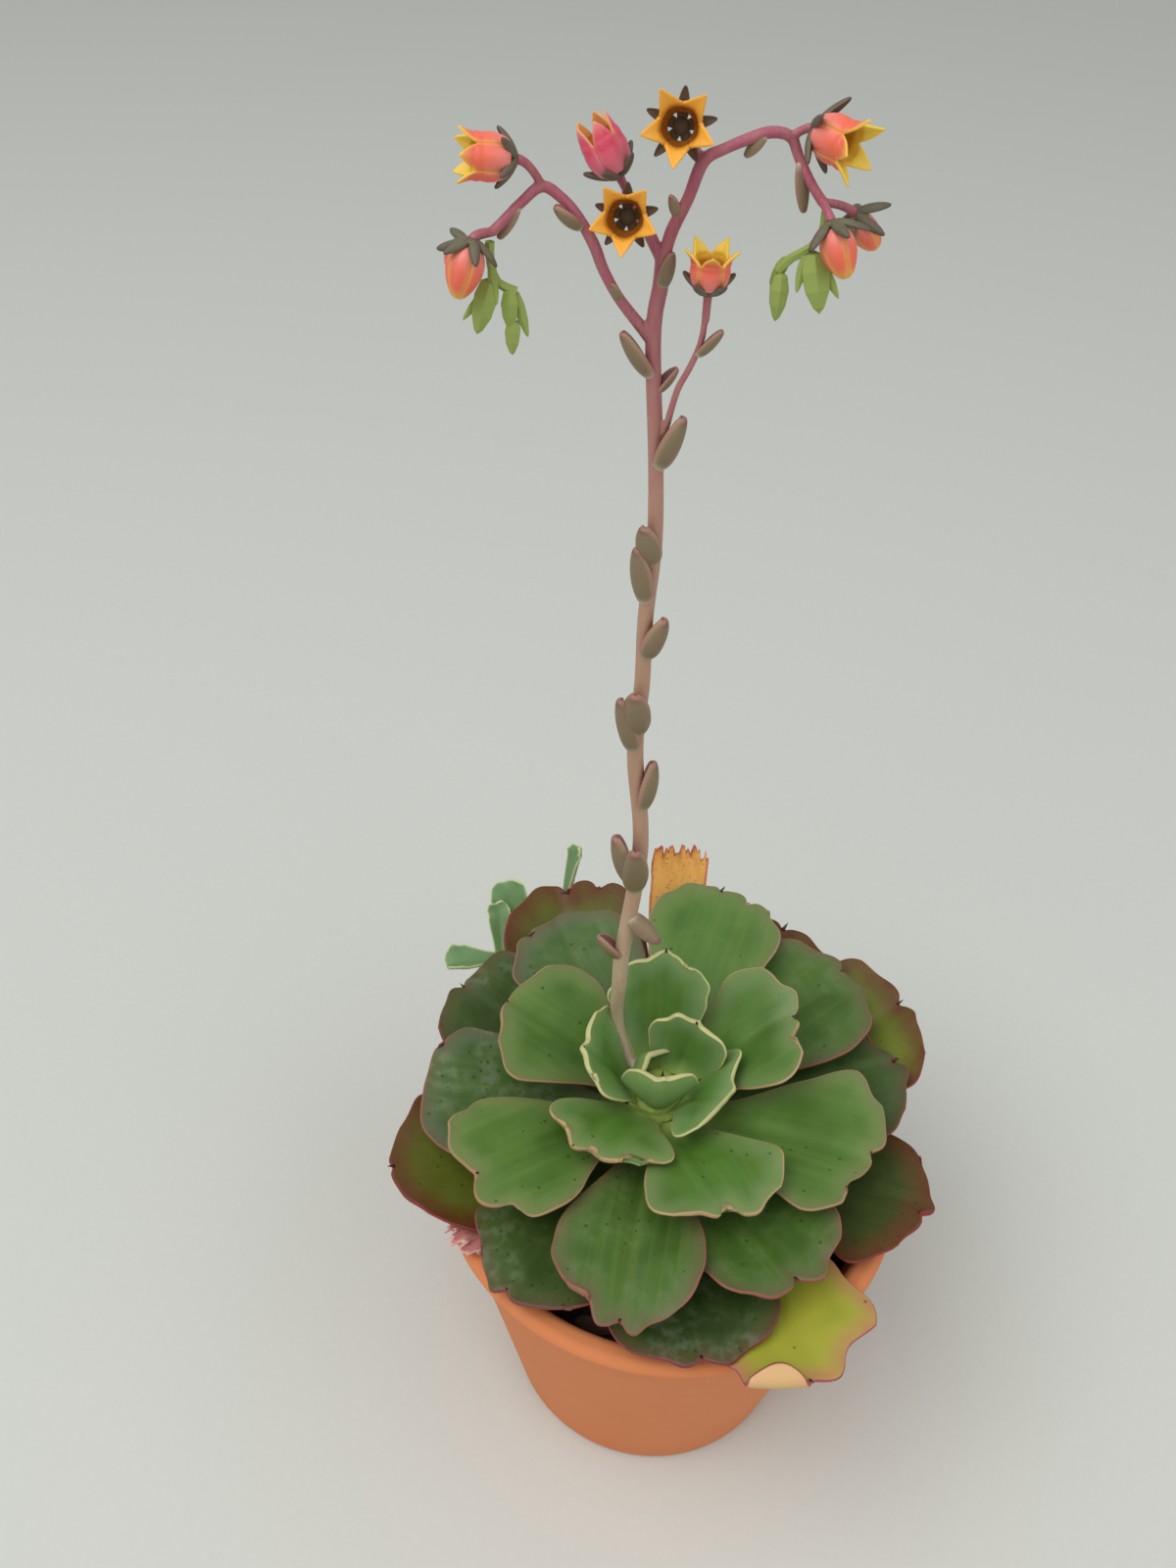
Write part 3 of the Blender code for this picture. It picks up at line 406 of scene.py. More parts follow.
# A leaf: the compass angle and the distance of its tip from the stem, the tip's height,
# its width, the slope at which it leaves the stem, then its waist, its roll, the rise of
# its margins, the height of its edge waves, how round its end is (0 blunt to 1 round),
# the turn from its tip's compass angle to its root's, how soon it widens (below 1 is soon),
# and how far its face is twisted about its length in degrees.
Leaf = namedtuple("Leaf", "name azimuth reach tip width slope waist roll cup wave round turn flare twist")
Leaf.__new__.__defaults__ = (9, 0, 1.0, 1.0, 0.6, 0, 1.2, 0)

# From the outermost leaf to the heart, in the order in which they leave the stem.
LEAVES = [
    Leaf("outer_yellow", 299, 77.5, 97, 42, 13, cup=0, wave=0.8, round=0.0),
    Leaf("outer_back_right", 27, 78, 104, 42, 8, waist=7),
    Leaf("outer_back_left", 114, 74, 111, 42, 11, round=0.8),
    Leaf("outer_right", 339.5, 74, 98, 38, 10, waist=7, round=0.8, turn=-6),
    Leaf("outer_left", 200, 70, 98, 38, 8, round=0.8),
    Leaf("outer_back", 57, 71, 107, 40, 10),
    Leaf("outer_front", 279, 70, 98, 42, 12),
    Leaf("low_left", 149, 64, 106, 41, 12),
    Leaf("low_right", 12, 67, 105, 40, 13),
    Leaf("low_front_left", 239, 66, 99, 38, 14),
    Leaf("mid_front_right", 302, 63, 108, 38, 18, cup=2),
    Leaf("mid_left", 185, 61, 107, 41, 18, cup=2),
    Leaf("mid_back_right", 36, 65, 112, 41, 20, cup=2),
    Leaf("mid_front", 262, 68, 109, 36, 30, cup=2, round=1.0, flare=1.4),
    Leaf("mid_back_left", 119, 60, 113, 38, 24, cup=2),
    Leaf("upper_right", 336, 58, 113, 41, 28, cup=2, round=0.3),
    Leaf("upper_left", 217, 56, 114, 37, 28, cup=2, wave=1.5, round=0.2),
    Leaf("mid_back", 72, 65, 119, 37, 28, cup=2),
    Leaf("inner_front_right", 291, 46, 119, 34, 36, waist=11, cup=2, wave=1.2, round=0.2),
    Leaf("upper_back_left", 156, 44, 119, 38, 36, waist=10, cup=3),
    Leaf("inner_right", 19, 36, 128, 35, 45, waist=10, cup=3, round=0.4),
    Leaf("inner_left", 241, 33, 119, 34, 46, waist=11, cup=1, round=0.0),
    Leaf("heart_back", 91, 22, 135, 24, 60, waist=10, cup=3, wave=0.6, flare=0.8),
    Leaf("heart_right", 326, 19, 120, 27, 60, waist=9, roll=-10, cup=1, wave=0.5, round=0.1),
    Leaf("heart_left", 187, 19.5, 127, 24, 60, waist=9, roll=10, cup=2, wave=0.5, round=0.3, flare=0.8),
    Leaf("heart_upright", 34, 9, 128, 21, 70, waist=9, cup=2, wave=0.3, round=0.2, flare=0.6, twist=34),
    Leaf("heart_front", 270, 6.5, 122, 19, 70, waist=7, cup=2, wave=0.3, round=0.2, flare=0.8),
    Leaf("heart_core", 140, 2.5, 118, 15, 75, waist=6, cup=3, wave=0.2, round=0.3),
]

# Where a leaf's margin leaves its plain outline: the angle about its round end in degrees
# (0 at the tip), how far it stands out in millimetres, and the width of that in degrees.
MARGIN_SHAPES = {
    "outer_yellow": [(-6, 5.2, 12), (24, 6.2, 15), (-75, -3, 16), (52, -2.5, 8)],
    "outer_right": [(-40, -1.5, 20), (0, 1.6, 7), (9, -1.8, 4), (35, -1.4, 14), (82, 4, 18)],
    "outer_left": [(72, 3.5, 12), (12, 1.6, 18), (9, -1.0, 4), (-40, -1.8, 14), (-85, 2, 14)],
    "outer_back_right": [(-50, 2.4, 18), (-15, 2, 12), (-2, -1.6, 4), (10, 1.2, 6), (70, 3, 15)],
    "outer_back_left": [(-10, 2.4, 14), (10, -2.6, 4), (24, 1.2, 8), (36, -1.8, 4), (50, 2.4, 12)],
    "outer_back": [(-15, 1.0, 8), (-4, -1.2, 4), (14, 1.2, 12)],
    "outer_front": [(12, 1.6, 9), (1, -1.2, 3), (-14, 1.8, 9), (50, 1, 14), (-60, 0.8, 14)],
    "low_left": [(38, 2.4, 14), (2, -1.4, 4), (-5, 1.0, 10)],
    "low_right": [(-30, -3.6, 20), (8, 1.4, 10), (-2, -1.6, 4), (66, 2.6, 14)],
    "low_front_left": [(48, -2.2, 14), (8, -1.6, 4), (16, 1.2, 6), (-42, -1.8, 20), (76, 1.4, 10)],
    "mid_front_right": [(52, 1.2, 12), (22, 1.4, 10), (1, -2.0, 4), (-14, 2.6, 9), (-72, -1.2, 10)],
    "mid_left": [(66, 1.5, 12), (44, -1.2, 4), (20, -0.8, 12), (-24, 1.6, 14)],
    "mid_back_right": [(-12, 2.2, 12), (-5, -1.4, 3), (14, 1.6, 9), (38, -1.2, 12)],
    "mid_front": [(34, -3.4, 14), (14, 1.4, 8), (-1, -1.4, 4), (-12, 2.0, 8), (75, 1.0, 10)],
    "mid_back_left": [(-80, 1.4, 12), (-52, -1.2, 12), (-30, -1.4, 4), (10, 2.4, 14)],
    "upper_right": [(-74, 2.6, 16), (-50, -1.4, 10), (-18, 1.2, 10), (-8, -1.8, 4), (28, -2.8, 16), (66, 1.6, 12)],
    "upper_left": [(58, -1.4, 8), (24, 2.4, 12), (2, -1.4, 4), (-16, 3.0, 12), (-40, -2.8, 9), (-88, 2.4, 16)],
    "mid_back": [(-48, -1.4, 12), (-20, -1.0, 10), (-6, -1.2, 3), (8, 0.8, 10), (22, -1.6, 4), (50, -2, 14)],
    "inner_front_right": [(54, 2.6, 12), (24, -1.0, 8), (1, -3.2, 5), (-16, 2.4, 10), (-74, 1.6, 14)],
    "upper_back_left": [(-72, 3.6, 14), (-30, -1.2, 12), (30, -0.6, 12), (86, -1.4, 14)],
    "inner_right": [(-90, -3.0, 16), (-36, 1.4, 12), (-12, 2.6, 9), (5, -1.6, 4), (27, -3.0, 11), (62, 2.0, 14)],
    "inner_left": [(36, -2.4, 9), (16, 1.6, 7), (4, -1.4, 6), (-40, -5.5, 18)],
    "heart_back": [(-92, 3.0, 16), (-62, -1.0, 10), (-22, -0.8, 10), (4, 0.9, 6), (34, -1.8, 14), (70, 0.8, 10)],
    "heart_left": [(66, 2.4, 12), (10, -0.8, 6), (-3, 1.0, 5), (-46, -2.4, 12)],
    "heart_upright": [(-16, 2.4, 12), (6, 1.2, 4), (30, -0.6, 10)],
    "heart_right": [(-48, 1.6, 8), (-10, 2.0, 8), (62, 2.0, 14)],
    "heart_front": [(30, 1.0, 10), (-2, 0.8, 5), (0, -0.6, 12), (-74, 1.2, 10)],
}

# The angle about its round end at which a leaf carries its thorns, the ends of its veins.
THORNS = {
    "outer_right": [9],
    "outer_left": [9],
    "outer_back_right": [-2],
    "outer_back_left": [10, 36],
    "outer_back": [-4],
    "outer_front": [1],
    "low_left": [2],
    "low_right": [-2],
    "low_front_left": [8],
    "mid_front_right": [1],
    "mid_left": [44],
    "mid_back_right": [-5],
    "mid_front": [-1],
    "mid_back_left": [-30],
    "upper_right": [-8],
    "upper_left": [2],
    "mid_back": [-6, 22],
    "inner_front_right": [1],
    "upper_back_left": [-3],
    "inner_right": [5],
    "inner_left": [16],
    "heart_back": [4],
    "heart_left": [-3],
    "heart_upright": [6],
    "heart_front": [-2],
    "outer_yellow": [10],
}

# The yellow leaf's end has folded up and over: the line of the fold, as two places (ahead,
# aside) on its blade, then the radius of the bend and how far it turns in degrees.
Fold = namedtuple("Fold", "start end radius turn")
YELLOW_FOLD = Fold((69.6, 18.0), (77.4, 0.8), 1.0, 150)


def compass(angle):
    """The level direction at an angle in degrees, from +X towards +Y."""
    return np.array((math.cos(math.radians(angle)), math.sin(math.radians(angle)), 0.0))


def unit(vectors):
    return vectors / np.maximum(np.linalg.norm(vectors, axis=-1, keepdims=True), 1e-9)


class Blade:
    """The upper face of one leaf, as a surface over its length and width."""

    def __init__(self, leaf, seat, number, stem=(STEM_X, STEM_Y), clear=None, shapes=(), fold=None):
        self.leaf = leaf
        self.phase = number * 2.4
        self.shapes = shapes
        self.fold = fold
        out = compass(leaf.azimuth)
        slope = math.radians(leaf.slope)
        if clear is None:
            clear = stem_radius(seat) + GAP
        self.root = np.array((*stem, seat)) + compass(leaf.azimuth + leaf.turn) * clear
        self.end = np.array((*stem, leaf.tip)) + out * leaf.reach
        chord = np.linalg.norm(self.end - self.root)
        self.middle = self.root + (out * math.cos(slope) + np.array((0, 0, math.sin(slope)))) * chord * 0.5
        self.side = compass(leaf.azimuth - 90 + leaf.twist)
        self.length = chord * 1.03
        self.centre = self.length - leaf.width / 2
        self.cap = leaf.width * (0.22 + 0.28 * leaf.round)
        self.blunt = 0.6 + 0.4 * leaf.round

    def midrib(self, share):
        """The points and the directions of the midrib, a curve of three control points."""
        share = share[..., None]
        rest = 1 - share
        point = self.root * rest * rest + self.middle * 2 * share * rest + self.end * share * share
        heading = (self.middle - self.root) * rest + (self.end - self.middle) * share
        return point, unit(heading)

    def outline(self, along, across):
        """Millimetres along the midrib and sideways from it: a waist that flares to a round end."""
        leaf = self.leaf
        shaft = self.length - self.cap
        low = np.clip(along / SHAFT_ROWS, 0, 1)
        half = leaf.waist / 2 + (leaf.width - leaf.waist) / 2 * smooth_step(low**leaf.flare)
        high = np.clip((along - SHAFT_ROWS) / (1 - SHAFT_ROWS), 0, 1)
        ahead = shaft * low + self.cap * high * np.sqrt(1 - self.blunt * across**2 / 2)
        aside = half * across * np.sqrt(1 - self.blunt * high**2 / 2)
        reach = np.maximum(high, np.abs(across) * low)
        return *self.shaped(ahead, aside, reach), reach

    def shaped(self, ahead, aside, reach):
        """Moves the margin in and out of the plain outline: notches, bulges and small ripples."""
        angle = np.degrees(np.arctan2(aside, ahead - self.centre))
        ripple = 0.14 * np.sin(np.radians(angle * 11) + self.phase * 3)
        ripple = ripple * np.sin(np.radians(angle * 3.3) + self.phase)
        offset = ripple + 0.3 * np.sin(np.radians(angle * 4.1) + self.phase * 5)
        for where, height, width in self.shapes:
            broad = height * np.exp(-(((angle - where) / width) ** 2))
            offset = offset + broad * reach ** (2 if width > 6 else 7)
        offset = offset * reach**2 * smooth_step((135 - np.abs(angle)) / 40)
        turn = np.radians(angle)
        return ahead + offset * np.cos(turn), aside + offset * np.sin(turn)

    def relief(self, ahead, aside, reach):
        """How far the face stands above the midrib's line: a soft fold, and waves at the margin."""
        leaf = self.leaf
        share = ahead / self.length
        angle = np.arctan2(aside, ahead - self.centre)
        spread = np.abs(aside) / (leaf.width / 2)
        crease = 0.06 * leaf.width
        folded = np.sqrt(aside**2 + crease**2) - crease
        rise = leaf.cup * (0.55 * spread**2 + 0.45 * spread) + VALLEY * folded * smooth_step(share * 2)
        slow = np.sin(2.6 * angle + self.phase)
        quick = np.sin(6.3 * angle + self.phase * 2.7)
        wave = leaf.wave * (0.75 * slow + 0.4 * quick * reach**2) * reach**2
        groove = np.exp(-((aside / (0.055 * leaf.width)) ** 2)) * smooth_step(share * 3)
        return rise + wave * smooth_step(share * 1.5 - 0.3) - GROOVE * leaf.width * groove * (1 - share * 0.6)

    def folded(self, ahead, aside, rise):
        """Bends what lies beyond the fold's line up and over."""
        start, end = np.array(self.fold.start), np.array(self.fold.end)
        line = unit(end - start)
        out = np.array((-line[1], line[0]))
        out = out if out[0] > 0 else -out
        beyond = (ahead - start[0]) * out[0] + (aside - start[1]) * out[1]
        most = math.radians(self.fold.turn)
        turn = np.clip(beyond / self.fold.radius, 0, most)
        spare = np.maximum(beyond - most * self.fold.radius, 0)
        level = self.fold.radius * np.sin(turn) + spare * np.cos(turn)
        lift = self.fold.radius * (1 - np.cos(turn)) + spare * np.sin(turn)
        back = np.where(beyond > 0, level - beyond, 0)
        return ahead + out[0] * back, aside + out[1] * back, rise + np.where(beyond > 0, lift, 0)

    def surface(self, along, across):
        """Points on the upper face, and where each lies on the blade before it is bent."""
        ahead, aside, reach = self.outline(along, across)
        rise = self.relief(ahead, aside, reach)
        level, sideways = ahead, aside
        if self.fold:
            level, sideways, rise = self.folded(ahead, aside, rise)
        share = level / self.length
        spot, heading = self.midrib(share)
        up = np.cross(self.side, heading)
        roll = (math.radians(self.leaf.roll) * smooth_step(share))[..., None]
        side = self.side * np.cos(roll) + up * np.sin(roll)
        up = up * np.cos(roll) - self.side * np.sin(roll)
        return spot + side * sideways[..., None] + up * rise[..., None], ahead, aside

    def margin_at(self, angle):
        """The margin's point at an angle about the round end, the way out from it, and its face."""
        across = np.linspace(-1, 1, 241)
        rows = np.array([0.97, 1.0])[:, None]
        points, ahead, aside = self.surface(rows, across[None, :])
        angles = np.degrees(np.arctan2(aside[1], ahead[1] - self.centre))
        nearest = int(np.abs(angles - angle).argmin())
        out = unit(points[1, nearest] - points[0, nearest])
        level = unit(points[1, min(nearest + 1, 240)] - points[1, max(nearest - 1, 0)])
        return points[1, nearest], out, np.cross(level, out)


def finer_ends(count, closest):
    """Values from 0 to 1 that come closer together towards both ends."""
    plain = np.linspace(0, 1, count)
    eased = (1 - np.cos(plain * math.pi)) / 2
    return plain * (1 - closest) + eased * closest


def margin_loop(rows, columns):
    """The places round the edge of a grid, in order."""
    loop = [(0, c) for c in range(columns)] + [(r, columns - 1) for r in range(1, rows)]
    loop += [(rows - 1, c) for c in range(columns - 2, -1, -1)]
    return loop + [(r, 0) for r in range(rows - 2, 0, -1)]


def from_margin(flat):
    """How far each point of a flat grid is from its outline."""
    rim = np.array([flat[row, column] for row, column in margin_loop(*flat.shape[:2])])
    span = np.roll(rim, -1, axis=0) - rim
    reach = flat[:, :, None, :] - rim
    share = np.clip((reach * span).sum(-1) / np.maximum((span * span).sum(-1), 1e-9), 0, 1)
    return np.linalg.norm(reach - span * share[..., None], axis=-1).min(-1)


def flesh_mesh(name, top, flat, flesh, edge_round=EDGE_ROUND):
    """A closed fleshy sheet: its upper face as rows of points, thickened below, with round margins.

    The flat points are the same rows laid out in the plane. They give the pattern's place, and
    how far each point is from the margin, which the materials read as attributes.
    """
    rows, columns = top.shape[:2]
    normal = unit(np.cross(np.gradient(top, axis=1), np.gradient(top, axis=0)))
    margin = from_margin(flat)
    near = np.clip(margin / edge_round, 0, 1)
    tuck = flesh / 2 * (1 - np.sqrt(near * (2 - near)))
    upper = top - normal * tuck[..., None]
    lower = top - normal * (flesh - tuck)[..., None]

    index = np.arange(rows * columns).reshape(rows, columns)
    inside = np.zeros((rows, columns), bool)
    inside[1:-1, 1:-1] = True
    below = index.copy()
    below[inside] = rows * columns + np.arange(inside.sum())
    points = np.concatenate([upper.reshape(-1, 3), lower[inside]]) * MM

    def quads(grid):
        return np.stack([grid[:-1, :-1], grid[:-1, 1:], grid[1:, 1:], grid[1:, :-1]], -1).reshape(-1, 4)

    faces = np.concatenate([quads(index), quads(below)[:, ::-1]])
    mesh = bpy.data.meshes.new(name)
    mesh.from_pydata(points.tolist(), [], faces.tolist())
    flat_all = np.concatenate([flat.reshape(-1, 2), flat[inside]])
    along = np.repeat(np.linspace(0, 1, rows)[:, None], columns, 1)
    values = {
        "margin": np.concatenate([margin.ravel(), margin[inside]]),
        "along": np.concatenate([along.ravel(), along[inside]]),
        "under": np.concatenate([np.zeros(rows * columns), np.ones(inside.sum())]),
    }
    for title, numbers in values.items():
        attribute = mesh.attributes.new(title, "FLOAT", "POINT")
        attribute.data.foreach_set("value", numbers.astype(np.float32))
    corners = np.empty(len(mesh.loops), np.int32)
    mesh.loops.foreach_get("vertex_index", corners)
    laid = mesh.uv_layers.new(name="laid flat")
    laid.data.foreach_set("uv", (flat_all[corners] / 100 + (0.5, 0.1)).astype(np.float32).ravel())
    bm = bmesh.new()
    bm.from_mesh(mesh)
    bmesh.ops.remove_doubles(bm, verts=bm.verts, dist=0.000002)
    bmesh.ops.recalc_face_normals(bm, faces=bm.faces)
    bm.to_mesh(mesh)
    bm.free()
    mesh.shade_smooth()
    return mesh


# How a leaf's skin looks: the colours of its foot, blade and margin side, the shade of its
# deep patches, its flush and how far that reaches in from the margin in millimetres, the
# margin's line, its underside, then the amounts of wax patches and of dark speckles.
Skin = namedtuple("Skin", "foot blade haze deep flush reach line back wax speckles")

SKINS = {
    "heart": Skin("#B6CA6E", "#5A8136", "#7E9C66", "#426620", "#84995C", 3.0, "#CDC58C", "#7F9A5C", 0.0, 0.0),
    "inner": Skin("#AEC266", "#527A2A", "#7A915A", "#3E5F18", "#7E8A50", 3.0, "#C09A74", "#7F9A5C", 0.03, 0.12),
    "upper": Skin("#A6BB5A", "#51752A", "#788A50", "#3C5C1A", "#777848", 3.5, "#B08465", "#7A9258", 0.04, 0.25),
    "mid": Skin("#A4B85A", "#4A6A24", "#657646", "#36521A", "#6A583A", 4.5, "#9E564C", "#6E8450", 0.10, 0.4),
    "low": Skin("#7C9044", "#40581E", "#546236", "#293E12", "#584428", 5.0, "#883A3A", "#66784A", 0.22, 0.9),
    "outer": Skin("#858F34", "#5E6418", "#5C4214", "#363C0A", "#642A14", 9.0, "#8A2A30", "#6A6A40", 0.02, 0.35),
    "yellow": Skin("#8FA03A", "#A6A534", "#B4A64A", "#8C922C", "#BA7A5A", 6.0, "#A43F58", "#E6B886", 0.0, 0.2),
}
OWN_SKINS = {
    # mid_front's foot colour is brighter than the other mid leaves' as painted light: a painted pool of light on its
    # base, which lies in shade under the inner leaves.
    "mid_front": SKINS["mid"]._replace(foot="#C2D272"),
    "outer_front": SKINS["low"]._replace(blade="#34481A", line="#8A2F38", flush="#62402A"),
    "outer_right": SKINS["outer"]._replace(blade="#3A4812", haze="#645020", deep="#26340A"),
    "outer_back_right": SKINS["outer"]._replace(blade="#6E781C", haze="#645420"),
    "low_right": SKINS["low"]._replace(blade="#39531F", speckles=0.2, wax=0.05),
    "mid_back_left": SKINS["mid"]._replace(blade="#4F6A34", haze="#6A745A", line="#A06A64"),
    "mid_left": SKINS["mid"]._replace(blade="#4C662E", haze="#66785A", wax=0.3, speckles=0.8),
    "mid_back": SKINS["upper"]._replace(blade="#557A32", line="#B09070"),
    "outer_yellow": SKINS["yellow"],
}


def leaf_skin(name, skin, seed):
    """Living leaf skin: smooth and waxy, with a bloom that dulls it and flesh that lets light in.

    The pattern lies on the leaf as it was before it bent, in millimetres.
    """
    material, tree = blank_material(name)
    laid = add(tree, "ShaderNodeUVMap", uv_map="laid flat")
    moved = {0: laid, 1: (100, 100, 0), 2: (seed * 37.0, seed * 11.0, seed)}
    spot = add(tree, "ShaderNodeVectorMath", moved, operation="MULTIPLY_ADD")
    margin = add(tree, "ShaderNodeAttribute", attribute_name="margin").outputs["Fac"]
    along = add(tree, "ShaderNodeAttribute", attribute_name="along").outputs["Fac"]
    under = add(tree, "ShaderNodeAttribute", attribute_name="under").outputs["Fac"]
    broad = add(tree, "ShaderNodeTexNoise", {"Vector": spot, "Scale": 1 / 12.0, "Detail": 1.0})
    patchy = add(tree, "ShaderNodeTexNoise", {"Vector": spot, "Scale": 1 / 3.0, "Detail": 3.0})
    fine = add(tree, "ShaderNodeTexNoise", {"Vector": spot, "Scale": 1 / 0.45, "Detail": 2.0})
    drawn = add(tree, "ShaderNodeVectorMath", {0: spot, 1: (1.0, 0.05, 1.0)}, operation="MULTIPLY")
    veins = add(tree, "ShaderNodeTexNoise", {"Vector": drawn, "Scale": 1 / 2.2, "Detail": 1.0})

    # The foot colour is each leaf's own pale base; on mid_front it also carries painted light on the base.
    grown = add(tree, "ShaderNodeMapRange", {"Value": along, "From Max": 0.36}, interpolation_type="SMOOTHSTEP")
    body = add(tree, "ShaderNodeMix", {"Factor": grown, "A": colour(skin.foot), "B": colour(skin.blade)}, data_type="RGBA")
    shade = add(tree, "ShaderNodeMapRange", {"Value": broad, "From Min": 0.4, "From Max": 0.75, "To Max": 0.55}, interpolation_type="SMOOTHSTEP")
    body = add(tree, "ShaderNodeMix", {"Factor": shade, "A": body, "B": colour(skin.deep)}, data_type="RGBA")
    streak = add(tree, "ShaderNodeMapRange", {"Value": veins, "From Min": 0.45, "From Max": 0.8, "To Max": 0.09})
    body = add(tree, "ShaderNodeMix", {"Factor": streak, "A": body, "B": colour(skin.foot)}, data_type="RGBA")
    sidelong = add(tree, "ShaderNodeMapRange", {"Value": margin, "From Min": 8.0, "From Max": 0.6, "To Max": 0.75}, interpolation_type="SMOOTHSTEP")
    cloudy = add(tree, "ShaderNodeMapRange", {"Value": broad, "From Min": 0.3, "From Max": 0.6, "To Min": 0.5})
    hazed = add(tree, "ShaderNodeMath", {0: sidelong, 1: cloudy}, operation="MULTIPLY")
    hazed = add(tree, "ShaderNodeMath", {0: hazed, 1: grown}, operation="MULTIPLY")
    body = add(tree, "ShaderNodeMix", {"Factor": hazed, "A": body, "B": colour(skin.haze)}, data_type="RGBA")

    near = add(tree, "ShaderNodeMapRange", {"Value": margin, "From Min": skin.reach, "From Max": 0.0, "To Max": 0.8}, interpolation_type="SMOOTHSTEP")
    uneven = add(tree, "ShaderNodeMapRange", {"Value": patchy, "From Min": 0.25, "From Max": 0.65, "To Min": 0.45})
    flushed = add(tree, "ShaderNodeMath", {0: near, 1: uneven}, operation="MULTIPLY")
    held = add(tree, "ShaderNodeMath", {0: flushed, 1: grown}, operation="MULTIPLY")
    body = add(tree, "ShaderNodeMix", {"Factor": held, "A": body, "B": colour(skin.flush)}, data_type="RGBA")

    rubbed = add(tree, "ShaderNodeMapRange", {"Value": patchy, "From Min": 0.4, "From Max": 0.68, "To Max": skin.wax}, interpolation_type="SMOOTHSTEP")
    where = add(tree, "ShaderNodeMapRange", {"Value": broad, "From Min": 0.6, "From Max": 0.45})
    worn = add(tree, "ShaderNodeMath", {0: rubbed, 1: where}, operation="MULTIPLY")
    body = add(tree, "ShaderNodeMix", {"Factor": worn, "A": body, "B": colour("#8E9E84")}, data_type="RGBA")

    cells = add(tree, "ShaderNodeTexVoronoi", {"Vector": spot, "Scale": 1 / 2.4, "Randomness": 1.0})
    chance = add(tree, "ShaderNodeSeparateColor", {0: cells.outputs["Color"]}).outputs["Red"]
    width = add(tree, "ShaderNodeMapRange", {"Value": chance, "From Min": 1 - skin.speckles, "From Max": 1 - skin.speckles * 0.4, "To Max": 0.24})
    inside = add(tree, "ShaderNodeMath", {0: width, 1: cells.outputs["Distance"]}, operation="SUBTRACT")
    dots = add(tree, "ShaderNodeMapRange", {"Value": inside, "From Max": 0.1, "To Max": 0.62}, interpolation_type="SMOOTHSTEP")
    body = add(tree, "ShaderNodeMix", {"Factor": dots, "A": body, "B": colour("#22380C")}, data_type="RGBA")

    line = add(tree, "ShaderNodeMapRange", {"Value": margin, "From Min": 0.42, "From Max": 0.12, "To Max": 0.85}, interpolation_type="SMOOTHSTEP")
    lined = add(tree, "ShaderNodeMath", {0: line, 1: grown}, operation="MULTIPLY")
    pale = add(tree, "ShaderNodeMath", {0: under, 1: 0.75}, operation="MULTIPLY")
    body = add(tree, "ShaderNodeMix", {"Factor": pale, "A": body, "B": colour(skin.back)}, data_type="RGBA")
    body = add(tree, "ShaderNodeMix", {"Factor": lined, "A": body, "B": colour(skin.line)}, data_type="RGBA")

    bump = add(tree, "ShaderNodeBump", {"Strength": 0.1, "Distance": 0.0003, "Height": fine})
    soft = add(tree, "ShaderNodeBump", {"Strength": 0.06, "Distance": 0.0008, "Height": veins, "Normal": bump})
    rough = add(tree, "ShaderNodeMapRange", {"Value": patchy, "From Min": 0.3, "From Max": 0.7, "To Min": 0.42, "To Max": 0.56})
    shader = add(
        tree,
        "ShaderNodeBsdfPrincipled",
        {
            "Base Color": body,
            "Roughness": rough,
            "Normal": soft,
            "Specular IOR Level": 0.35,
            "Subsurface Weight": 0.12,
            "Subsurface Radius": (0.6, 1.0, 0.25),
            "Subsurface Scale": 0.0015,
        },
    )
    add(tree, "ShaderNodeOutputMaterial", {"Surface": shader})
    return material


def leaf_mesh(name, blade, flesh=LEAF_FLESH, rows=LEAF_ROWS, columns=LEAF_COLUMNS, ragged=None):
    along, across = np.meshgrid(finer_ends(rows, 0.6), finer_ends(columns, 0.8) * 2 - 1, indexing="ij")
    top, ahead, aside = blade.surface(along, across)
    weight = (1 - np.abs(across) ** 2.5) * (1 - 0.6 * along**3)
    thick = flesh * (LEAF_EDGE_SHARE + (1 - LEAF_EDGE_SHARE) * weight)
    if ragged:
        top = ragged(blade, top, ahead, aside)
    return flesh_mesh(name, top, np.stack([aside, ahead], -1), thick)


def thorn_skin():
    """Thorn: hard, smooth and dark red-brown, as the tip of a vein dries out."""
    material, tree = blank_material("leaf thorn")
    spot = add(tree, "ShaderNodeTexCoord").outputs["Object"]
    tone = add(tree, "ShaderNodeTexNoise", {"Vector": spot, "Scale": 1 / 0.001, "Detail": 1.0})
    body = add(tree, "ShaderNodeMix", {"Factor": tone, "A": colour("#5A1F26"), "B": colour("#2E1410")}, data_type="RGBA")
    shader = add(tree, "ShaderNodeBsdfPrincipled", {"Base Color": body, "Roughness": 0.4})
    add(tree, "ShaderNodeOutputMaterial", {"Surface": shader})
    return material


def thorn_mesh():
    """A thorn 1 mm wide at its foot and 2 mm long along +Z, flattened and bent over a little."""
    bm = bmesh.new()
    rings = []
    for share in (0.0, 0.25, 0.5, 0.75, 0.92):
        radius = 0.5 * (1 - share) ** 0.8
        ring = []
        for number in range(8):
            turn = 2 * math.pi * number / 8
            point = (radius * math.cos(turn), 0.6 * radius * math.sin(turn) + 0.3 * share**2, 2 * share)
            ring.append(bm.verts.new(Vector(point) * MM))
        rings.append(ring)
    tip = bm.verts.new(Vector((0, 0.36, 2)) * MM)
    for lower, upper in zip(rings, rings[1:]):
        for number in range(8):
            following = (number + 1) % 8
            bm.faces.new((lower[number], lower[following], upper[following], upper[number]))
    for number in range(8):
        bm.faces.new((rings[-1][number], rings[-1][(number + 1) % 8], tip))
    bm.faces.new(rings[0][::-1])
    mesh = bpy.data.meshes.new("thorn")
    bm.to_mesh(mesh)
    bm.free()
    mesh.shade_smooth()
    return mesh


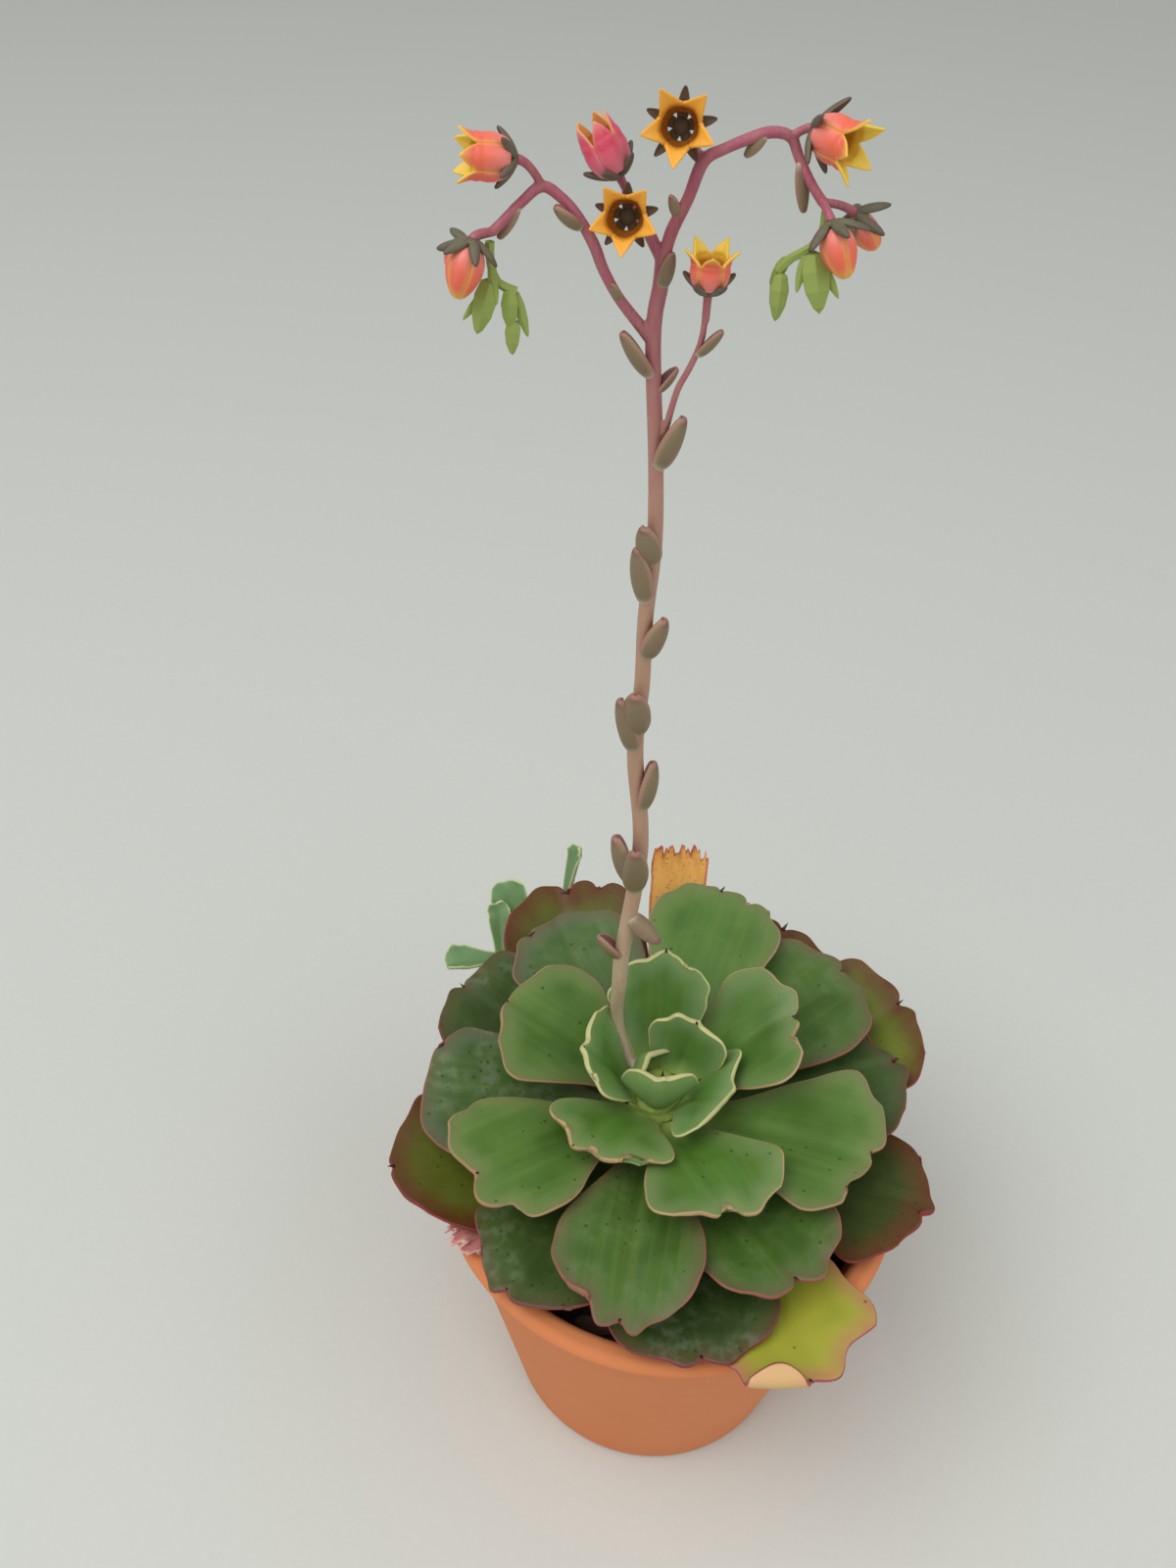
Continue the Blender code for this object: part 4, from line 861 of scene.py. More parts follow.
def setting_out_tree():
    """Sets a copy of one small shape at every point, turned and sized as the point says."""
    tree = bpy.data.node_groups.new("shape set at points", "GeometryNodeTree")
    tree.interface.new_socket("Geometry", in_out="INPUT", socket_type="NodeSocketGeometry")
    tree.interface.new_socket("Shape", in_out="INPUT", socket_type="NodeSocketObject")
    tree.interface.new_socket("Finish", in_out="INPUT", socket_type="NodeSocketMaterial")
    tree.interface.new_socket("Geometry", in_out="OUTPUT", socket_type="NodeSocketGeometry")
    given = add(tree, "NodeGroupInput").outputs
    shape = add(tree, "GeometryNodeObjectInfo", {"Object": given["Shape"]}).outputs["Geometry"]
    turn = add(tree, "GeometryNodeInputNamedAttribute", {"Name": "turn"}, data_type="FLOAT_VECTOR")
    size = add(tree, "GeometryNodeInputNamedAttribute", {"Name": "size"}, data_type="FLOAT_VECTOR")
    rotation = add(tree, "FunctionNodeEulerToRotation", {0: turn})
    placed = add(
        tree,
        "GeometryNodeInstanceOnPoints",
        {"Points": given["Geometry"], "Instance": shape, "Rotation": rotation, "Scale": size},
    )
    real = add(tree, "GeometryNodeRealizeInstances", {0: placed})
    finished = add(tree, "GeometryNodeSetMaterial", {"Geometry": real, "Material": given["Finish"]})
    add(tree, "NodeGroupOutput", {0: finished})
    return tree


def facing(heading, face):
    """The turn that takes +Z to a heading, and +Y as near as can be to a facing direction."""
    heading = Vector(heading).normalized()
    side = Vector(face).cross(heading).normalized()
    face = heading.cross(side)
    return Matrix((side, face, heading)).transposed().to_euler()


SETTING_OUT = setting_out_tree()


def set_out(name, shape, spots, material):
    """Copies of a shape at each (point, heading, face, size), in millimetres, as one object."""
    mesh = bpy.data.meshes.new(name)
    mesh.from_pydata([list(Vector(spot[0]) * MM) for spot in spots], [], [])
    turns = [facing(heading, face) for _, heading, face, _ in spots]
    for title, values in (("turn", turns), ("size", [spot[3] for spot in spots])):
        attribute = mesh.attributes.new(title, "FLOAT_VECTOR", "POINT")
        attribute.data.foreach_set("vector", [c for value in values for c in value])
    obj = object_of(mesh, name)
    pattern = object_of(shape, name + "_pattern")
    grow(obj, SETTING_OUT, Shape=pattern, Finish=material)
    bpy.data.objects.remove(pattern, do_unlink=True)
    return obj


def joined(name, pieces):
    """Several finished pieces as one object."""
    bm = bmesh.new()
    finishes = []
    for piece in pieces:
        first = len(bm.faces)
        bm.from_mesh(piece.data)
        bm.faces.ensure_lookup_table()
        for face in bm.faces[first:]:
            finish = piece.data.materials[face.material_index]
            if finish not in finishes:
                finishes.append(finish)
            face.material_index = finishes.index(finish)
    mesh = bpy.data.meshes.new(name)
    bm.to_mesh(mesh)
    bm.free()
    for piece in pieces:
        bpy.data.objects.remove(piece, do_unlink=True)
    for finish in finishes:
        mesh.materials.append(finish)
    return object_of(mesh, name)


def seat_height(index):
    return LOWEST_SEAT + (HIGHEST_SEAT - LOWEST_SEAT) * index / (len(LEAVES) - 1)


SLOTS = {"outer": "leaf_reddened", "low": "leaf_dark_green", "mid": "leaf_dark_green"}
THORN_SKIN = thorn_skin()


def make_leaf(index, leaf):
    """One living leaf with the thorns on its margin."""
    ring = leaf.name.split("_")[0]
    fold = YELLOW_FOLD if leaf.name == "outer_yellow" else None
    blade = Blade(leaf, seat_height(index), index, shapes=MARGIN_SHAPES.get(leaf.name, ()), fold=fold)
    skin = leaf_skin("leaf skin, " + leaf.name.replace("_", " "), OWN_SKINS.get(leaf.name, SKINS[ring]), index)
    parts = [object_of(leaf_mesh("blade", blade), "blade", skin)]
    spots = []
    for number, angle in enumerate(THORNS.get(leaf.name, ())):
        point, out, face = blade.margin_at(angle)
        size = 0.55 + 0.25 * ((index + number) % 3) + (0.3 if ring == "outer" else 0)
        spots.append((point - out * 0.4, out + np.array((0, 0, 0.25)), face, (size, size, size)))
    if spots:
        parts.append(set_out("thorns", thorn_mesh(), spots, THORN_SKIN))
    slot = "leaf_yellow" if leaf.name == "outer_yellow" else SLOTS.get(ring, "leaf_green")
    show(joined("rosette_" + leaf.name, parts), slot, "leaf_" + leaf.name)


for index, leaf in enumerate(LEAVES):
    make_leaf(index, leaf)

# Withered leaves: three that have dried. One stands behind, papery, orange with a torn red top.
# One curls pink and flaky over the rim at the left, and one lies brown on the soil.
WITHERED_THICKNESS = 1.2
WITHERED_BACK = Leaf("withered_back", 85, 74, 123, 16.5, -1, waist=5, cup=1, wave=1.2, round=0.1)
WITHERED_LEFT = Leaf("withered_left", 219, 63, 95, 12, 12, waist=6, cup=0, wave=0.6)


def dry_leaf(name, foot, middle, end, spots, torn):
    """A dead leaf's skin: papery and matte, its colours drained unevenly, with brown spots."""
    material, tree = blank_material(name)
    spot = add(tree, "ShaderNodeTexCoord").outputs["Object"]
    along = add(tree, "ShaderNodeAttribute", attribute_name="along").outputs["Fac"]
    margin = add(tree, "ShaderNodeAttribute", attribute_name="margin").outputs["Fac"]
    patchy = add(tree, "ShaderNodeTexNoise", {"Vector": spot, "Scale": 1 / 0.004, "Detail": 4.0})
    fine = add(tree, "ShaderNodeTexNoise", {"Vector": spot, "Scale": 1 / 0.0008, "Detail": 4.0})
    wander = add(tree, "ShaderNodeMath", {0: patchy, 1: 0.35, 2: along}, operation="MULTIPLY_ADD")
    lower = add(tree, "ShaderNodeMapRange", {"Value": wander, "From Min": 0.5, "From Max": 0.95}, interpolation_type="SMOOTHSTEP")
    upper = add(tree, "ShaderNodeMapRange", {"Value": wander, "From Min": torn, "From Max": torn + 0.12}, interpolation_type="SMOOTHSTEP")
    body = add(tree, "ShaderNodeMix", {"Factor": lower, "A": colour(foot), "B": colour(middle)}, data_type="RGBA")
    body = add(tree, "ShaderNodeMix", {"Factor": upper, "A": body, "B": colour(end)}, data_type="RGBA")
    freckle = add(tree, "ShaderNodeMapRange", {"Value": fine, "From Min": 0.6, "From Max": 0.7, "To Max": 0.75})
    body = add(tree, "ShaderNodeMix", {"Factor": freckle, "A": body, "B": colour(spots)}, data_type="RGBA")
    rim = add(tree, "ShaderNodeMapRange", {"Value": margin, "From Min": 0.9, "From Max": 0.2, "To Max": 0.7})
    body = add(tree, "ShaderNodeMix", {"Factor": rim, "A": body, "B": colour(end)}, data_type="RGBA")
    bump = add(tree, "ShaderNodeBump", {"Strength": 0.5, "Distance": 0.0005, "Height": patchy})
    shader = add(
        tree,
        "ShaderNodeBsdfPrincipled",
        {"Base Color": body, "Roughness": 0.7, "Normal": bump, "Subsurface Weight": 0.2, "Subsurface Scale": 0.001},
    )
    add(tree, "ShaderNodeOutputMaterial", {"Surface": shader})
    return material


def torn_end(blade, top, ahead, aside):
    """Leaves the end of a dry leaf ragged: its last millimetres stand up and fall in small teeth."""
    share = smooth_step((ahead - blade.length + 9) / 9)
    teeth = 1.1 * np.sin(aside * 1.7 + 0.6) + 0.8 * np.sin(aside * 3.9) + 0.5 * np.sin(aside * 7.3 + 1)
    crumple = 0.7 * np.sin(aside * 1.3 + ahead * 0.5) * share
    heading = unit(blade.end - blade.middle)
    up = np.cross(blade.side, heading)
    return top + heading * (teeth * share)[..., None] + up * crumple[..., None]


back_blade = Blade(WITHERED_BACK, 84.5, 1)
back_skin = dry_leaf("dry leaf, orange", "#D9A24A", "#E0A552", "#A9373A", "#7A3A22", 1.12)
back_leaf = object_of(leaf_mesh("withered_leaf_back", back_blade, WITHERED_THICKNESS, ragged=torn_end), "withered_leaf_back", back_skin)
show(back_leaf, "withered_leaf", "withered_back")

left_blade = Blade(WITHERED_LEFT, 83.5, 1)
left_skin = dry_leaf("dry leaf, pink", "#B86A5A", "#D98F88", "#EBC0B4", "#8A2F38", 1.1)
left_leaf = object_of(leaf_mesh("withered_leaf_left", left_blade, WITHERED_THICKNESS, ragged=torn_end), "withered_leaf_left", left_skin)
show(left_leaf, "withered_leaf", "withered_left")


def scale_mesh(name, size, curl=0.0, cup=0.25, rows=18, columns=11, blunt=0.45):
    """A bract or sepal along +Z, its inner face to +Y: a pointed, boat-shaped fleshy scale.

    The size is its length, width and thickness, and curl moves its tip towards +Y.
    """
    length, width, thickness = size
    along, across = np.meshgrid(finer_ends(rows, 0.5), finer_ends(columns, 0.7) * 2 - 1, indexing="ij")
    half = width / 2 * 1.75 * np.clip(along, 0.001, 1) ** blunt * np.clip(1 - along, 0, 1) ** 0.7
    half = np.maximum(half, 0.03)
    lift = curl * along**2 + cup * width * across**2 * np.sin(math.pi * np.clip(along, 0, 1)) ** 0.5
    top = np.stack([-half * across, lift, along * length], -1)
    flat = np.stack([half * across, along * length], -1)
    thick = thickness * (0.3 + 0.7 * (1 - across**2)) * (0.35 + 0.65 * (half / half.max()))
    return flesh_mesh(name, top, flat, thick, edge_round=min(0.3, thickness / 3))


lying_skin = dry_leaf("dry leaf, brown", "#4A2C1E", "#5A3222", "#3A2018", "#2A1812", 1.2)
lying = object_of(scale_mesh("withered_leaf_fallen", (11, 6, 1.0), curl=0.8, cup=0.12), "withered_leaf_fallen", lying_skin)
for vertex in lying.data.vertices:
    sideways, lift, forward = vertex.co / MM
    vertex.co = Vector((-23 + forward - 0.15 * sideways, -43 + sideways - 0.15 * forward, SOIL_TOP + 0.9 + lift)) * MM
show(lying, "withered_leaf", "withered_soil")

# The offsets: two young plants on thin runners, which leave the soil behind the rosette and
# lean out over the rim at the left. Their few leaves are small and grey-green, with a cream
# margin.
PUP_FLESH = 1.6
Pup = namedtuple("Pup", "name route leaves")
PUPS = [
    Pup(
        "pup_left",
        [(-29, 34, 74, 1.7), (-29.6, 34.8, 86, 1.7), (-33, 39, 93.4, 1.7), (-40, 48, 95.8, 1.7), (-48.4, 61, 97, 2.4)],
        [
            Leaf("behind", 86, 18, 111, 11, 8, waist=4, cup=1),
            Leaf("front", 100, 12, 108, 7, 40, waist=4, cup=1, round=1.0),
            Leaf("outward", 192, 17, 97, 9, 5, waist=4, cup=2.5, round=1.0),
        ],
    ),
    Pup(
        "pup_back",
        [(-17, 38, 74, 1.4), (-17.6, 39.6, 85, 1.4), (-20.4, 47.4, 92, 1.3), (-23.4, 57, 94.6, 1.3), (-31.5, 82, 98.5, 1.8)],
        [Leaf("upright", 30, 4.5, 121, 5.5, 86, waist=3, cup=1, round=1.0)],
    ),
]
PUP_SKIN = Skin("#8FA868", "#668A54", "#7C9C6C", "#4F7A40", "#87A67C", 1.0, "#D0D69C", "#86A070", 0.05, 0.0)


def smooth_route(points, step):
    """Points about a step apart on a smooth curve through given (x, y, z, radius) points."""
    points = [Vector(point) for point in points]
    ends = [points[0] * 2 - points[1]] + points + [points[-1] * 2 - points[-2]]
    route = []
    for before, start, stop, after in zip(ends, ends[1:], ends[2:], ends[3:]):
        count = max(1, round((stop - start).length / step))
        for i in range(count):
            t = i / count
            bend = (before * -1 + start * 3 - stop * 3 + after) * t**3
            bend += (before * 2 - start * 5 + stop * 4 - after) * t**2
            route.append((start * 2 + (stop - before) * t + bend) / 2)
    return route + [points[-1]]


def stem_tree():
    """Sweeps a round section along each line of a mesh, as thick as its points say."""
    tree = bpy.data.node_groups.new("round stem along a line", "GeometryNodeTree")
    tree.interface.new_socket("Geometry", in_out="INPUT", socket_type="NodeSocketGeometry")
    tree.interface.new_socket("Sides", in_out="INPUT", socket_type="NodeSocketInt").default_value = 20
    tree.interface.new_socket("Finish", in_out="INPUT", socket_type="NodeSocketMaterial")
    tree.interface.new_socket("Geometry", in_out="OUTPUT", socket_type="NodeSocketGeometry")
    given = add(tree, "NodeGroupInput").outputs
    line = add(tree, "GeometryNodeMeshToCurve", {0: given["Geometry"]})
    width = add(tree, "GeometryNodeInputNamedAttribute", {"Name": "thickness"}, data_type="FLOAT")
    sized = add(tree, "GeometryNodeSetCurveRadius", {"Curve": line, "Radius": width})
    ring = add(tree, "GeometryNodeCurvePrimitiveCircle", {"Resolution": given["Sides"], "Radius": 1.0})
    swept = add(tree, "GeometryNodeCurveToMesh", {"Curve": sized, "Profile Curve": ring, "Fill Caps": True})
    scale = next((s for s in swept.inputs if s.name == "Scale"), None)
    if scale:
        tree.links.new(width.outputs[0], scale)
    real = add(tree, "GeometryNodeRealizeInstances", {0: swept})
    finished = add(tree, "GeometryNodeSetMaterial", {"Geometry": real, "Material": given["Finish"]})
    add(tree, "NodeGroupOutput", {0: finished})
    return tree


STEM_TREE = stem_tree()


def stems(name, routes, material, sides=20):
    """Round stems along routes of (x, y, z, radius) points in millimetres, as one object."""
    mesh = bpy.data.meshes.new(name)
    points, edges = [], []
    for route in routes:
        first = len(points)
        points += [tuple(point) for point in route]
        edges += [(i, i + 1) for i in range(first, len(points) - 1)]
    mesh.from_pydata([[c * MM for c in point[:3]] for point in points], edges, [])
    thickness = mesh.attributes.new("thickness", "FLOAT", "POINT")
    thickness.data.foreach_set("value", [point[3] * MM for point in points])
    obj = object_of(mesh, name)
    grow(obj, STEM_TREE, Sides=sides, Finish=material)
    bm = bmesh.new()
    bm.from_mesh(obj.data)
    bmesh.ops.remove_doubles(bm, verts=bm.verts, dist=0.000002)
    bmesh.ops.recalc_face_normals(bm, faces=bm.faces)
    bm.to_mesh(obj.data)
    bm.free()
    obj.data.shade_smooth()
    return obj


for pup_number, pup in enumerate(PUPS):
    skin = leaf_skin("young leaf skin, " + pup.name, PUP_SKIN, 40 + pup_number)
    parts = [stems(pup.name + "_runner", [smooth_route(pup.route, 1.5)], skin)]
    top = pup.route[-1]
    for number, leaf in enumerate(pup.leaves):
        blade = Blade(leaf, top[2] - 0.6, number, stem=top[:2], clear=0.3)
        mesh = leaf_mesh(pup.name + leaf.name, blade, PUP_FLESH, rows=28, columns=20)
        parts.append(object_of(mesh, pup.name + leaf.name, skin))
    show(joined("offset_" + pup.name, parts), "leaf_green", pup.name)

# The flower stalk: one tall fleshy stem that grows from between the heart leaves and forks
# near its top. It is pale tan below and rosy above, and carries small boat-shaped bracts,
# each held by its pale foot.
ROUTES = {
    "stalk": [
        (-9.2, 14.8, 107.5, 1.4),
        (-11.6, 17.2, 109.5, 1.5),
        (-14.2, 19.4, 116, 1.6),
        (-15.6, 19.9, 125, 1.7),
        (-15.6, 17.8, 139, 1.95),
        (-15.4, 17.7, 151, 1.95),
        (-13.2, 18.6, 178, 1.9),
        (-13.4, 19.0, 192, 1.85),
        (-15.6, 19.5, 210, 1.85),
        (-15.9, 19.8, 221, 1.8),
        (-15.4, 20.2, 232, 1.7),
        (-15.7, 20.7, 248, 1.65),
        (-15.0, 21.6, 265, 1.6),
        (-15.8, 22.0, 282, 1.5),
        (-17.9, 23.2, 307, 1.45),
        (-17.2, 23.8, 317, 1.45),
        (-17.2, 24.0, 323, 1.3),
    ],
    "right_branch": [
        (-17.2, 23.9, 320, 1.1),
        (-16.0, 23.5, 326, 1.15),
        (-13.8, 22, 332, 1.05),
        (-11.8, 21, 338.6, 1.1),
        (-8.7, 22, 340.3, 0.95),
        (-3.9, 24, 341.8, 1.0),
        (-0.8, 25, 342.4, 1.0),
        (2.4, 25.6, 341.6, 0.95),
        (4.2, 25, 338.4, 0.9),
        (6.4, 23, 335.2, 0.85),
        (8.7, 21.6, 332.5, 0.9),
    ],
    "left_branch": [
        (-17.9, 23.2, 306, 1.0),
        (-19.8, 23.0, 308.6, 1.1),
        (-24.3, 22.2, 314.4, 1.0),
        (-27.2, 22, 319.3, 1.0),
        (-29.1, 22, 323.8, 1.05),
        (-32.1, 23, 328.2, 0.95),
        (-34.8, 24, 330.6, 0.95),
        (-38.1, 24, 332.4, 1.0),
        (-41.3, 22, 330.4, 0.9),
        (-44.4, 20, 327.7, 0.9),
        (-46.2, 19.2, 326.1, 0.9),
    ],
    "middle_branch": [
        (-17.2, 24, 320.5, 1.0),
        (-19.6, 25.2, 324.6, 1.1),
        (-22.2, 27, 328.5, 0.9),
        (-24.2, 26.8, 331.4, 0.8),
    ],
    "side_stem": [
        (-16.1, 22.2, 287, 0.7),
        (-14.6, 21.6, 290.3, 0.7),
        (-13.8, 20.4, 295, 0.65),
        (-12.9, 19.6, 299.5, 0.65),
        (-11.2, 19, 303.8, 0.62),
        (-9.7, 19, 308.4, 0.6),
        (-9.2, 19, 313.5, 0.6),
    ],
}
ROUTE_STEP = 1.0
STALK_VOXEL = 0.28

# A bract: the stem it grows from, where along it (a height on the stalk, or x on a branch),
# the compass angle and the rise of its direction in degrees, its length and its width.
Bract = namedtuple("Bract", "stem place azimuth rise length width")
BRACTS = [
    Bract("stalk", 149, 192, 50, 10, 5),
    Bract("stalk", 163, 328, -24, 10, 5),
    Bract("stalk", 174, 196, 69, 17, 7),
    Bract("stalk", 172, 262, 71, 18, 6.5),
    Bract("stalk", 197, 352, 79, 14.5, 6),
    Bract("stalk", 214, 206, 72, 16, 6),
    Bract("stalk", 219, 255, 71, 13.5, 6.5),
    Bract("stalk", 239, 330, 67, 11.5, 6),
    Bract("stalk", 252, 208, 75, 14, 5.5),
    Bract("stalk", 261, 232, 68, 10.5, 5.5),
    Bract("stalk", 282, 335, 66, 12.5, 5.5),
    Bract("stalk", 297, 13, 45, 6, 3),
    Bract("stalk", 300, 196, 52, 11, 4.5),
    Bract("stalk", 316, 332, 73, 7, 3.5),
    Bract("side_stem", -10.4, 340, 48, 7, 3),
    Bract("left_branch", -24.1, 217, 57, 4, 2.2),
    Bract("left_branch", -31.0, 204, 34, 6.5, 3.6),
    Bract("left_branch", -41.5, 196, -55, 7, 3),
    Bract("right_branch", -15.0, 214, 62, 4.5, 2.4),
    Bract("right_branch", -1.6, 196, -44, 5, 2.6),
    Bract("right_branch", 4.1, 340, -76, 9, 3.2),
]

# A flower or coloured bud: the point of the stem that its own stalk leaves, the foot of its
# calyx, the compass angle and rise of its axis in degrees, then its corolla's length, its
# radius and that of its open mouth (0 for a bud), its sepals' length and its turn in degrees.
Bloom = namedtuple("Bloom", "name joint foot azimuth rise length radius mouth sepal turn")
BLOOMS = [
    Bloom("left", (-38.1, 24, 332.4), (-42.0, 22.0, 337.3), 191, 5, 8.8, 3.1, 4.4, 5.5, 90),
    Bloom("left_bud", (-46.0, 19.2, 326.2), (-49.0, 16.4, 326.2), 218, -70, 8.6, 3.4, 0, 5.5, 54),
    Bloom("left_bud_behind", (-46.0, 19.2, 326.2), (-50.6, 23.4, 322.6), 133, -50, 6.2, 2.6, 0, 5.0, 60),
    Bloom("pink", (-24.0, 26.8, 331.4), (-25.2, 25.2, 334.0), 182, 59, 9.0, 3.0, 2.5, 5.6, 18),
    Bloom("top", (-11.8, 21, 338.6), (-15.7, 22.6, 343.4), 265, 17, 8.4, 3.0, 6.2, 6.5, 123),
    Bloom("middle", (-19.6, 25.2, 324.6), (-23.6, 22.3, 328.7), 265, 17, 8.4, 3.0, 5.8, 6.0, 127),
    Bloom("right", (2.4, 25.6, 341.6), (5.6, 25, 343.4), 321, -8, 9.2, 3.1, 5.5, 7.0, 100),
    Bloom("right_bud", (8.5, 21.7, 332.7), (9.7, 17.8, 331.4), 313, -58, 8.0, 3.1, 0, 6.2, 80),
    Bloom("right_bud_behind", (8.5, 21.7, 332.7), (14.2, 24.8, 330.2), 22, -50, 7.2, 2.4, 0, 6.4, 60),
    Bloom("side", (-9.2, 19, 312.5), (-9.2, 19, 317.2), 270, 88, 7.2, 2.7, 4.9, 5.2, 54),
]
PEDICEL = 0.75


def direction(azimuth, rise):
    level = compass(azimuth) * math.cos(math.radians(rise))
    return Vector(level + np.array((0, 0, math.sin(math.radians(rise)))))


def pedicel_route(bloom):
    """A flower's own stalk, which arrives in line with the flower."""
    joint, foot = Vector(bloom.joint), Vector(bloom.foot)
    heading = direction(bloom.azimuth, bloom.rise)
    stop = foot + heading * GAP
    bend = stop - heading * (stop - joint).length * 0.3
    route = []
    for i in range(11):
        t = i / 10
        spot = joint * (1 - t) ** 2 + bend * 2 * t * (1 - t) + stop * t * t
        route.append((*spot, PEDICEL * (1 + 0.25 * t**4)))
    return route


def stalk_skin():
    """Fleshy flower stem: satin, waxy, pale tan at its foot and rosy red where the sun meets it."""
    material, tree = blank_material("flower stem skin")
    spot = add(tree, "ShaderNodeTexCoord").outputs["Object"]
    height = add(tree, "ShaderNodeSeparateXYZ", {0: spot}).outputs["Z"]
    patchy = add(tree, "ShaderNodeTexNoise", {"Vector": spot, "Scale": 1 / 0.007, "Detail": 3.0})
    drawn = add(tree, "ShaderNodeVectorMath", {0: spot, 1: (1, 1, 0.12)}, operation="MULTIPLY")
    streaks = add(tree, "ShaderNodeTexNoise", {"Vector": drawn, "Scale": 1 / 0.0007, "Detail": 2.0})
    wander = add(tree, "ShaderNodeMath", {0: patchy, 1: 0.04, 2: height}, operation="MULTIPLY_ADD")
    low = add(tree, "ShaderNodeMapRange", {"Value": wander, "From Min": 0.13, "From Max": 0.22}, interpolation_type="SMOOTHSTEP")
    high = add(tree, "ShaderNodeMapRange", {"Value": wander, "From Min": 0.27, "From Max": 0.35}, interpolation_type="SMOOTHSTEP")
    body = add(tree, "ShaderNodeMix", {"Factor": low, "A": colour("#C9B79A"), "B": colour("#B58D76")}, data_type="RGBA")
    body = add(tree, "ShaderNodeMix", {"Factor": high, "A": body, "B": colour("#A9556A")}, data_type="RGBA")
    streak = add(tree, "ShaderNodeMapRange", {"Value": streaks, "From Min": 0.4, "From Max": 0.7, "To Max": 0.35})
    body = add(tree, "ShaderNodeMix", {"Factor": streak, "A": body, "B": colour("#A98A66")}, data_type="RGBA")
    bump = add(tree, "ShaderNodeBump", {"Strength": 0.15, "Distance": 0.0002, "Height": streaks})
    shader = add(
        tree,
        "ShaderNodeBsdfPrincipled",
        {"Base Color": body, "Roughness": 0.5, "Normal": bump, "Subsurface Weight": 0.15, "Subsurface Scale": 0.001},
    )
    add(tree, "ShaderNodeOutputMaterial", {"Surface": shader})
    return material


def grown_together(obj, voxel, rounds):
    """Melts crossing stems into one skin and smooths the joints between them."""
    remesh = obj.modifiers.new("One skin", "REMESH")
    remesh.mode = "VOXEL"
    remesh.voxel_size = voxel * MM
    smooth = obj.modifiers.new("Soft joints", "SMOOTH")
    smooth.factor = 0.5
    smooth.iterations = rounds
    apply_modifiers(obj)
    obj.data.shade_smooth()
    return obj


stalk_routes = [smooth_route(route, ROUTE_STEP) for route in ROUTES.values()]
stalk_routes += [pedicel_route(bloom) for bloom in BLOOMS]
stalk = stems("flower_stem", stalk_routes, stalk_skin())
grown_together(stalk, STALK_VOXEL, 4)
show(stalk, "flower_stalk", "flower_stalk")


def point_on(name, place):
    """The point at a height on the stalk, or at an x on a branch."""
    axis = 2 if name == "stalk" else 0
    route = [Vector(point[:3]) for point in ROUTES[name]]
    for start, stop in zip(route, route[1:]):
        share = (place - start[axis]) / (stop[axis] - start[axis])
        if 0 <= share <= 1:
            return start.lerp(stop, share)
    raise ValueError(f"{name} has no point at {place}")


def bract_skin():
    """Bract: fleshy and satin, pale at its foot, grey-green outside and wine red inside."""
    material, tree = blank_material("bract skin")
    spot = add(tree, "ShaderNodeTexCoord").outputs["Object"]
    margin = add(tree, "ShaderNodeAttribute", attribute_name="margin").outputs["Fac"]
    along = add(tree, "ShaderNodeAttribute", attribute_name="along").outputs["Fac"]
    under = add(tree, "ShaderNodeAttribute", attribute_name="under").outputs["Fac"]
    patchy = add(tree, "ShaderNodeTexNoise", {"Vector": spot, "Scale": 1 / 0.003, "Detail": 3.0})
    fine = add(tree, "ShaderNodeTexNoise", {"Vector": spot, "Scale": 1 / 0.0006, "Detail": 2.0})
    grown = add(tree, "ShaderNodeMapRange", {"Value": along, "From Min": 0.02, "From Max": 0.3}, interpolation_type="SMOOTHSTEP")
    tone = add(tree, "ShaderNodeMix", {"Factor": patchy, "A": colour("#7F8158"), "B": colour("#8C6B55")}, data_type="RGBA")
    inner = add(tree, "ShaderNodeMapRange", {"Value": under, "To Min": 0.65, "To Max": 0.15})
    body = add(tree, "ShaderNodeMix", {"Factor": inner, "A": tone, "B": colour("#7C4048")}, data_type="RGBA")
    body = add(tree, "ShaderNodeMix", {"Factor": grown, "A": colour("#D9CDB4"), "B": body}, data_type="RGBA")
    tip = add(tree, "ShaderNodeMapRange", {"Value": along, "From Min": 0.8, "From Max": 1.0, "To Max": 0.8})
    body = add(tree, "ShaderNodeMix", {"Factor": tip, "A": body, "B": colour("#6E3038")}, data_type="RGBA")
    rim = add(tree, "ShaderNodeMapRange", {"Value": margin, "From Min": 0.4, "From Max": 0.1, "To Max": 0.5})
    body = add(tree, "ShaderNodeMix", {"Factor": rim, "A": body, "B": colour("#C0907E")}, data_type="RGBA")
    bump = add(tree, "ShaderNodeBump", {"Strength": 0.2, "Distance": 0.0002, "Height": fine})
    shader = add(tree, "ShaderNodeBsdfPrincipled", {"Base Color": body, "Roughness": 0.5, "Normal": bump})
    add(tree, "ShaderNodeOutputMaterial", {"Surface": shader})
    return material


BRACT_SIZE = (12.0, 5.0, 2.2)
bract_spots = []
for bract in BRACTS:
    scale = (bract.width / BRACT_SIZE[1], bract.width / BRACT_SIZE[1], bract.length / BRACT_SIZE[0])
    heading = direction(bract.azimuth, bract.rise)
    bract_spots.append((point_on(bract.stem, bract.place), heading, -Vector(compass(bract.azimuth)), scale))
bracts = set_out("bracts", scale_mesh("bract", BRACT_SIZE, curl=0.6), bract_spots, bract_skin())
show(bracts, "flower_stalk", "flower_stalk")
